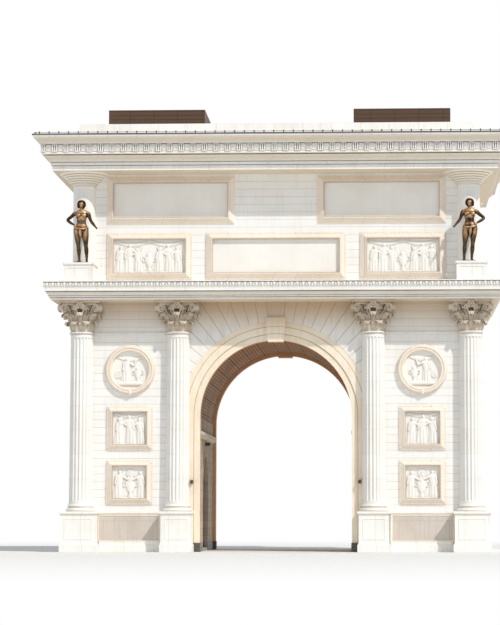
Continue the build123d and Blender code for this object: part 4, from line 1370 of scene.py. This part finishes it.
def abacus_flower():
    """The flower in the middle of each side of the abacus, facing +X."""
    angles = round_angles(24)
    rows = []
    for radius, out in ((0.2, 0.0), (0.2, 0.04), (0.16, 0.09), (0.08, 0.07), (0.05, 0.11), (0.005, 0.12)):
        petals = radius * (1 + (0.18 * np.cos(6 * angles) if radius > 0.06 else 0))
        rows.append(
            np.stack([0 * angles + out, petals * np.cos(angles), petals * np.sin(angles)], axis=1)
        )
    return skin(np.array(rows), round_columns=True)


def capital():
    """A Corinthian capital on the axis: bell, two rows of leaves, scrolls, abacus and flowers."""
    bell = lathe([
        (0.51, SHAFT_TOP), (0.52, 10.98), (0.55, 11.25), (0.61, 11.5), (0.70, 11.74), (0.79, 11.9),
        (0.81, 11.95), (0.81, 11.99),
    ], 48)
    lower = acanthus([
        (0.54, 0.0), (0.58, 0.17), (0.63, 0.33), (0.70, 0.45), (0.78, 0.48), (0.84, 0.43), (0.81, 0.36),
    ], 0.235, 4)
    upper = acanthus([
        (0.57, 0.1), (0.62, 0.38), (0.69, 0.63), (0.79, 0.84), (0.90, 0.91), (1.0, 0.87), (0.98, 0.77),
    ], 0.25, 5)
    sheath = acanthus([
        (0.60, 0.5), (0.66, 0.75), (0.73, 0.95), (0.82, 1.09), (0.91, 1.12), (0.93, 1.06),
    ], 0.19, 4)
    corner_line = scroll_line([(0.70, 0.62), (0.82, 0.92), (1.0, 1.2)], (1.21, 1.115), 0.19, 1.9, 1)
    corner_scroll = ribbon(corner_line, 0.27, 0.055, 0.2)
    inner_line = scroll_line([(0.05, 0.66), (0.14, 0.92)], (0.26, 1.14), 0.135, 1.7, -1)
    points, faces = ribbon(inner_line, 0.15, 0.04, 0.2)
    flower = moved(abacus_flower(), 0.86, 0, SHAFT_TOP + 1.28)
    shapes = [bell, abacus()]
    for number in range(8):
        for leaf_shape, angle in ((lower, 22.5), (upper, 0), (sheath, 22.5)):
            shapes.append(moved(turned(leaf_shape, 45 * number + angle), 0, 0, SHAFT_TOP))
    for number in range(4):
        shapes.append(moved(turned(corner_scroll, 45 + 90 * number), 0, 0, SHAFT_TOP))
        shapes.append(turned(flower, 90 * number))
        for hand in (-1, 1):
            across, up = points[:, 0], points[:, 2]
            face_on = np.stack([0.84 + 0 * across + points[:, 1], hand * across, up], axis=1)
            inner_scroll = face_on, faces if hand < 0 else [face[::-1] for face in faces]
            shapes.append(moved(turned(inner_scroll, 90 * number), 0, 0, SHAFT_TOP))
    return joined(shapes)


def on_columns(shape):
    """The shape on the axes of all eight columns, without what lies inside the walls."""
    return four_times(joined([outside_walls(moved(shape, -x, -COLUMN_Y, 0)) for x in COLUMN_X]))


piece(
    "fluted_shafts", on_columns(fluted_shaft()), turned_limestone, ("column_shafts",),
    sharp=50,
)
piece(
    "attic_bases", on_columns(column_base()), moulded_limestone, ("column_bases",), sharp=40,
)
piece(
    "corinthian_capitals", on_columns(capital()), carved_limestone, ("capitals",), sharp=55,
    hollow=(8, 0.03),
)


# Statues

# The figure is drawn in heads, and this is one of them in metres
HEAD = 0.389
STATUE_PLACE = (-STATUE_X, -HALF_DEPTH - 1.04, STATUE_PEDESTAL_TOP)


def oval_stack(levels, segments=20):
    """Joins level ovals: each has its height, middle, half width and half depth, in heads."""
    angles = round_angles(segments)
    points, faces = tube([
        [(x + half * math.cos(a), y + deep * math.sin(a), z) for a in angles]
        for z, x, y, half, deep in levels
    ])
    return points * HEAD, faces


def soft_limb(joints, segments=14):
    """A closed limb through joints, each a place and a radius in heads."""
    line = smooth_line(joints, 5 * len(joints))
    along = np.gradient(line[:, :3], axis=0)
    along /= np.linalg.norm(along, axis=1, keepdims=True)
    side = np.cross(along, (0.31, 0.9, 0.29))
    side /= np.linalg.norm(side, axis=1, keepdims=True)
    other = np.cross(along, side)
    angles = round_angles(segments)
    rows = []
    for (*centre, radius), u, v in zip(line, side, other):
        rows.append([centre + radius * (math.cos(a) * u + math.sin(a) * v) for a in angles])
    points, faces = tube(rows)
    return points * HEAD, faces


def ball(x, y, z, half, deep, high, segments=16):
    """A rounded lump with its middle and its half sizes across, deep and high, in heads."""
    levels = []
    for a in np.linspace(-math.pi / 2 + 0.12, math.pi / 2 - 0.12, 9):
        levels.append((z + high * math.sin(a), x, y, half * math.cos(a), deep * math.cos(a)))
    return oval_stack(levels, segments)


def figure_parts():
    """The body and the hair of the standing figure, in heads, facing -Y, with its hand on the hip at -X."""
    trunk = oval_stack([
        (3.75, -0.02, 0.02, 0.84, 0.46), (4.0, -0.03, 0.03, 0.95, 0.55), (4.3, -0.04, 0.02, 0.93, 0.57),
        (4.65, -0.02, -0.02, 0.78, 0.47), (5.0, 0.0, -0.04, 0.60, 0.39), (5.3, 0.02, -0.04, 0.57, 0.39),
        (5.7, 0.02, -0.03, 0.66, 0.46), (6.1, 0.0, 0.0, 0.75, 0.48), (6.45, 0.0, 0.03, 0.78, 0.40),
        (6.65, 0.0, 0.04, 0.62, 0.31), (6.8, 0.0, 0.03, 0.33, 0.24),
    ])
    neck = soft_limb([(0, 0.04, 6.6, 0.25), (-0.02, 0.0, 6.9, 0.20), (-0.03, -0.05, 7.2, 0.22)])
    skull = ball(0.0, -0.02, 7.52, 0.33, 0.41, 0.47)
    jaw = ball(0.0, -0.16, 7.22, 0.21, 0.24, 0.20)
    nose = soft_limb([(0, -0.39, 7.52, 0.035), (0, -0.46, 7.40, 0.05), (0, -0.44, 7.35, 0.04)], 8)
    brow = soft_limb([(-0.2, -0.34, 7.57, 0.04), (0, -0.40, 7.56, 0.04), (0.2, -0.34, 7.57, 0.04)], 8)
    mouth = soft_limb([(-0.09, -0.38, 7.24, 0.03), (0, -0.41, 7.24, 0.04), (0.09, -0.38, 7.24, 0.03)], 8)
    chest = [ball(-0.33, -0.34, 6.02, 0.33, 0.20, 0.26), ball(0.33, -0.34, 6.02, 0.33, 0.20, 0.26)]
    hip_arm = soft_limb([
        (-0.66, 0.04, 6.42, 0.25), (-0.92, 0.07, 6.24, 0.26), (-1.32, 0.18, 5.9, 0.22),
        (-1.74, 0.26, 5.6, 0.19), (-1.72, 0.2, 5.42, 0.19), (-1.38, 0.0, 5.14, 0.19),
        (-1.02, -0.12, 4.92, 0.14), (-0.88, -0.18, 4.84, 0.13),
    ])
    hip_hand = soft_limb([(-0.92, -0.2, 4.86, 0.12), (-0.78, -0.32, 4.74, 0.13), (-0.64, -0.42, 4.66, 0.07)])
    free_arm = soft_limb([
        (0.66, 0.04, 6.42, 0.25), (0.88, 0.05, 6.2, 0.26), (1.06, 0.06, 5.7, 0.22), (1.26, 0.04, 5.26, 0.19),
        (1.44, -0.08, 5.02, 0.19), (1.70, -0.26, 4.70, 0.15), (1.84, -0.34, 4.52, 0.12),
    ])
    free_hand = soft_limb([(1.84, -0.34, 4.54, 0.10), (1.95, -0.40, 4.40, 0.13), (2.04, -0.46, 4.24, 0.08)])
    near_leg = soft_limb([
        (0.42, 0.0, 4.2, 0.50), (0.49, -0.02, 3.6, 0.46), (0.56, -0.08, 2.9, 0.36), (0.61, -0.12, 2.3, 0.26),
        (0.62, -0.10, 2.1, 0.25), (0.66, 0.04, 1.6, 0.27), (0.69, 0.04, 1.0, 0.20), (0.71, 0.02, 0.35, 0.15),
        (0.71, 0.0, 0.2, 0.16),
    ])
    far_leg = soft_limb([
        (-0.44, 0.02, 4.15, 0.50), (-0.46, 0.0, 3.6, 0.46), (-0.41, -0.02, 2.9, 0.36),
        (-0.36, -0.04, 2.3, 0.26), (-0.34, -0.02, 2.1, 0.25), (-0.31, 0.1, 1.6, 0.28),
        (-0.26, 0.1, 1.0, 0.20), (-0.22, 0.06, 0.35, 0.15), (-0.22, 0.04, 0.2, 0.16),
    ])
    near_foot = soft_limb([
        (0.71, 0.14, 0.13, 0.15), (0.75, -0.25, 0.15, 0.16), (0.82, -0.55, 0.11, 0.15),
        (0.86, -0.70, 0.08, 0.09),
    ])
    far_foot = soft_limb([
        (-0.22, 0.2, 0.13, 0.15), (-0.26, -0.2, 0.15, 0.16), (-0.34, -0.55, 0.11, 0.15),
        (-0.38, -0.72, 0.08, 0.09),
    ])
    cloth = soft_limb([
        (0.78, -0.18, 4.45, 0.10), (0.3, -0.5, 4.3, 0.13), (-0.3, -0.52, 4.34, 0.14),
        (-0.78, -0.2, 4.5, 0.10), (-0.74, 0.3, 4.5, 0.10), (0.0, 0.52, 4.42, 0.12), (0.74, 0.3, 4.42, 0.10),
        (0.82, -0.1, 4.44, 0.10),
    ])
    fall = soft_limb([
        (-0.1, -0.52, 4.3, 0.17), (-0.08, -0.5, 3.9, 0.2), (-0.04, -0.44, 3.5, 0.17),
        (0.0, -0.36, 3.15, 0.10),
    ])
    plate = oval_stack([(0.0, 0.02, -0.2, 0.98, 0.86), (0.10, 0.02, -0.2, 0.98, 0.86)], 28)
    body = [
        trunk, neck, skull, jaw, nose, brow, mouth, *chest, hip_arm, hip_hand, free_arm, free_hand,
        near_leg, far_leg, near_foot, far_foot, cloth, fall, plate,
    ]
    hair = [
        ball(0.0, 0.08, 7.66, 0.50, 0.50, 0.35), ball(-0.40, 0.06, 7.38, 0.19, 0.32, 0.44),
        ball(0.38, 0.06, 7.42, 0.17, 0.31, 0.38), ball(0.0, 0.36, 7.28, 0.40, 0.24, 0.44),
    ]
    for number in range(9):
        angle = math.pi * (0.04 + 0.92 * number / 8)
        cos, sin = math.cos(angle), math.sin(angle)
        hair.append(ball(0.36 * cos, -0.10 - 0.16 * sin, 7.74 + 0.10 * sin, 0.10, 0.12, 0.12))
    return body, hair


def cast(parts):
    """The figure's parts cast as one skin: voxels melt them together, and smoothing takes the steps off."""
    figure = placed("figure", new_mesh("figure", joined(parts)))
    melt = figure.modifiers.new("melt", "REMESH")
    melt.mode = "VOXEL"
    melt.voxel_size = 0.02
    soften = figure.modifiers.new("soften", "SMOOTH")
    soften.factor = 0.5
    soften.iterations = 3
    thin = figure.modifiers.new("thin", "DECIMATE")
    thin.ratio = 0.6
    return evaluated_shape(figure)


body_parts, hair_parts = figure_parts()
piece(
    "bronze_statues", four_times(moved(cast(body_parts), *STATUE_PLACE)), cast_bronze,
    ("statues",), sharp=180, hollow=(6, 0.02),
)
piece(
    "bronze_statues_hair", four_times(moved(cast(hair_parts), *STATUE_PLACE)), blackened_bronze,
    sharp=180, hollow=(4, 0.02),
)


# Drums at the attic's corners


def on_corners(shape):
    """The shape on the four corners of the attic, without what lies inside the walls."""
    return four_times(outside_walls(moved(shape, -HALF_WIDTH - 0.05, -HALF_DEPTH - 0.05, 0)))


DRUM_TOP = 17.90


def drum():
    """A round drum on a low foot, up to the first ring."""
    profile = [
        (0.60, STATUE_PEDESTAL_TOP), (0.60, 14.10), (0.585, 14.12), (0.565, 14.15), (0.55, 14.17),
        (0.55, 17.86), (0.57, 17.87), (0.57, DRUM_TOP),
    ]
    return lathe(profile, 72)


def drum_flare():
    """The rings that widen step by step from the drum up to the cornice."""
    radius, height = 0.58, DRUM_TOP
    profile = [(0.57, DRUM_TOP)]
    for step in range(6):
        profile += [(radius - 0.045, height + 0.004), (radius - 0.04, height + 0.024)]
        radius += 0.075 + 0.012 * step
        profile += [
            (radius - 0.05, height + 0.06), (radius - 0.012, height + 0.088), (radius, height + 0.092),
        ]
        height += 0.10
    profile += [(radius, CORNICE_SOFFIT + 0.01)]
    return lathe(profile, 72)


piece(
    "round_corner_drums", on_corners(drum()), turned_limestone, ("corner_drums",), sharp=30,
)
piece(
    "corner_drum_flares", on_corners(drum_flare()), ringed_limestone, sharp=30,
    hollow=(2, 0.012),
)


# The CAD nodes that stay, each in its own stone or metal

dressing = {
    coursed_limestone: (
        "front_pier_walls", "rear_pier_walls", "flank_walls", "front_attic_wall", "rear_attic_wall",
        "left_attic_wall", "right_attic_wall",
    ),
    wedged_limestone: ("front_arch_wall", "rear_arch_wall"),
    moulded_limestone: ("long_parapets", "side_parapets", "string_courses", "statue_pedestals", "dados"),
    arch_sandstone: ("front_archivolt", "rear_archivolt", "keystones"),
    vault_stone: ("barrel_vault",),
    passage_stone: ("passage_walls", "doorway_surrounds"),
    dado_stone_slabs: ("passage_imposts",),
    plinth_granite: ("passage_plinths",),
    screeded_concrete: ("pier_floors", "attic_floor", "roof_deck"),
    clad_steel: ("roof_boxes", "jamb_lamps"),
    weathered_lead: ("passage_lamps",),
}
for material, names in dressing.items():
    for node_name in names:
        for material_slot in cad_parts[node_name].material_slots:
            material_slot.material = material


# Floor, which fades to the white of the background away from the arch

FLOOR_RADIUS = 260
FADE_START = 22.0
FADE_END = 60.0

floor_material, floor_tree = blank_material("pale_studio_floor")
floor_place = add(floor_tree, "ShaderNodeTexCoord").outputs["Object"]
distance = add(floor_tree, "ShaderNodeVectorMath", {0: floor_place}, operation="LENGTH").outputs["Value"]
far = add(
    floor_tree, "ShaderNodeMapRange", {"Value": distance, "From Min": FADE_START, "From Max": FADE_END}
).outputs[0]
speckle = add(
    floor_tree, "ShaderNodeTexNoise", {"Vector": floor_place, "Scale": 3.0, "Detail": 3.0}
).outputs["Fac"]
floor_colour = layered(floor_tree, linear("#EDEBE7"), [(speckle, "#E6E4E0")])
matt = add(floor_tree, "ShaderNodeBsdfDiffuse", {"Color": floor_colour}).outputs[0]
white = add(floor_tree, "ShaderNodeEmission", {"Color": (1, 1, 1, 1), "Strength": 1.0}).outputs[0]
floor_path = add(floor_tree, "ShaderNodeLightPath").outputs
faded_out = add(
    floor_tree, "ShaderNodeMath", {0: far, 1: floor_path["Is Camera Ray"]}, operation="MULTIPLY"
).outputs[0]
blend = add(floor_tree, "ShaderNodeMixShader", {0: faded_out, 1: matt, 2: white}).outputs[0]
add(floor_tree, "ShaderNodeOutputMaterial", {"Surface": blend})

rim = [(FLOOR_RADIUS * math.cos(a), FLOOR_RADIUS * math.sin(a), 0) for a in round_angles(64)]
floor_mesh = new_mesh("floor", (np.array(rim), [list(range(64))]))
floor_mesh.materials.append(floor_material)
floor = placed("studio_floor", floor_mesh)


# Sky: a cool fill on the arch, and plain white where the camera, metal or glass see it

world = bpy.data.worlds.new("studio")
bpy.context.scene.world = world
world.use_nodes = True
world_tree = world.node_tree
world_tree.nodes.clear()
path = add(world_tree, "ShaderNodeLightPath").outputs
seen = path["Is Camera Ray"]
for kind in ("Is Glossy Ray", "Is Transmission Ray"):
    seen = add(world_tree, "ShaderNodeMath", {0: seen, 1: path[kind]}, operation="MAXIMUM").outputs[0]
fill = add(
    world_tree, "ShaderNodeBackground", {"Color": (0.85, 0.92, 1.0, 1), "Strength": 0.60}
).outputs[0]
background = add(
    world_tree, "ShaderNodeBackground", {"Color": (1, 1, 1, 1), "Strength": 1.0}
).outputs[0]
sky = add(world_tree, "ShaderNodeMixShader", {0: seen, 1: fill, 2: background}).outputs[0]
add(world_tree, "ShaderNodeOutputWorld", {"Surface": sky})


# High sun from the front right, so that shadows fall to the left and down

key_light = bpy.data.lights.new("key", "SUN")
key_light.energy = 2.4
key_light.angle = math.radians(1.2)
key_light.color = (1.0, 0.97, 0.93)
key = placed("key", key_light)
key.rotation_euler = Vector((-0.60, 0.60, -0.87)).to_track_quat("-Z", "Y").to_euler()

# The ground of the passage throws its light up at the vault
bounce_light = bpy.data.lights.new("passage_bounce", "AREA")
bounce_light.shape = "RECTANGLE"
bounce_light.size = 6.4
bounce_light.size_y = 11.0
bounce_light.energy = 170.0
bounce_light.color = (1.0, 0.93, 0.84)
bounce = placed("passage_bounce", bounce_light)
bounce.location = (0.0, 0.0, 0.05)
bounce.rotation_euler = (math.pi, 0.0, 0.0)
bounce.visible_camera = False


# The camera looks up at the arch from eye level, far in front and a little to the right

camera_data = bpy.data.cameras.new("camera")
camera_data.sensor_width = 36.0
camera_data.lens = 126.82
camera_data.shift_x = -0.085
camera_data.clip_end = 1000.0
camera = placed("camera", camera_data)
camera.location = (5.4, -112.469, 1.452)
camera.rotation_euler = (math.radians(95.4338), 0.0, math.radians(2.1719))
bpy.context.scene.camera = camera
bpy.context.scene.view_settings.view_transform = "Standard"
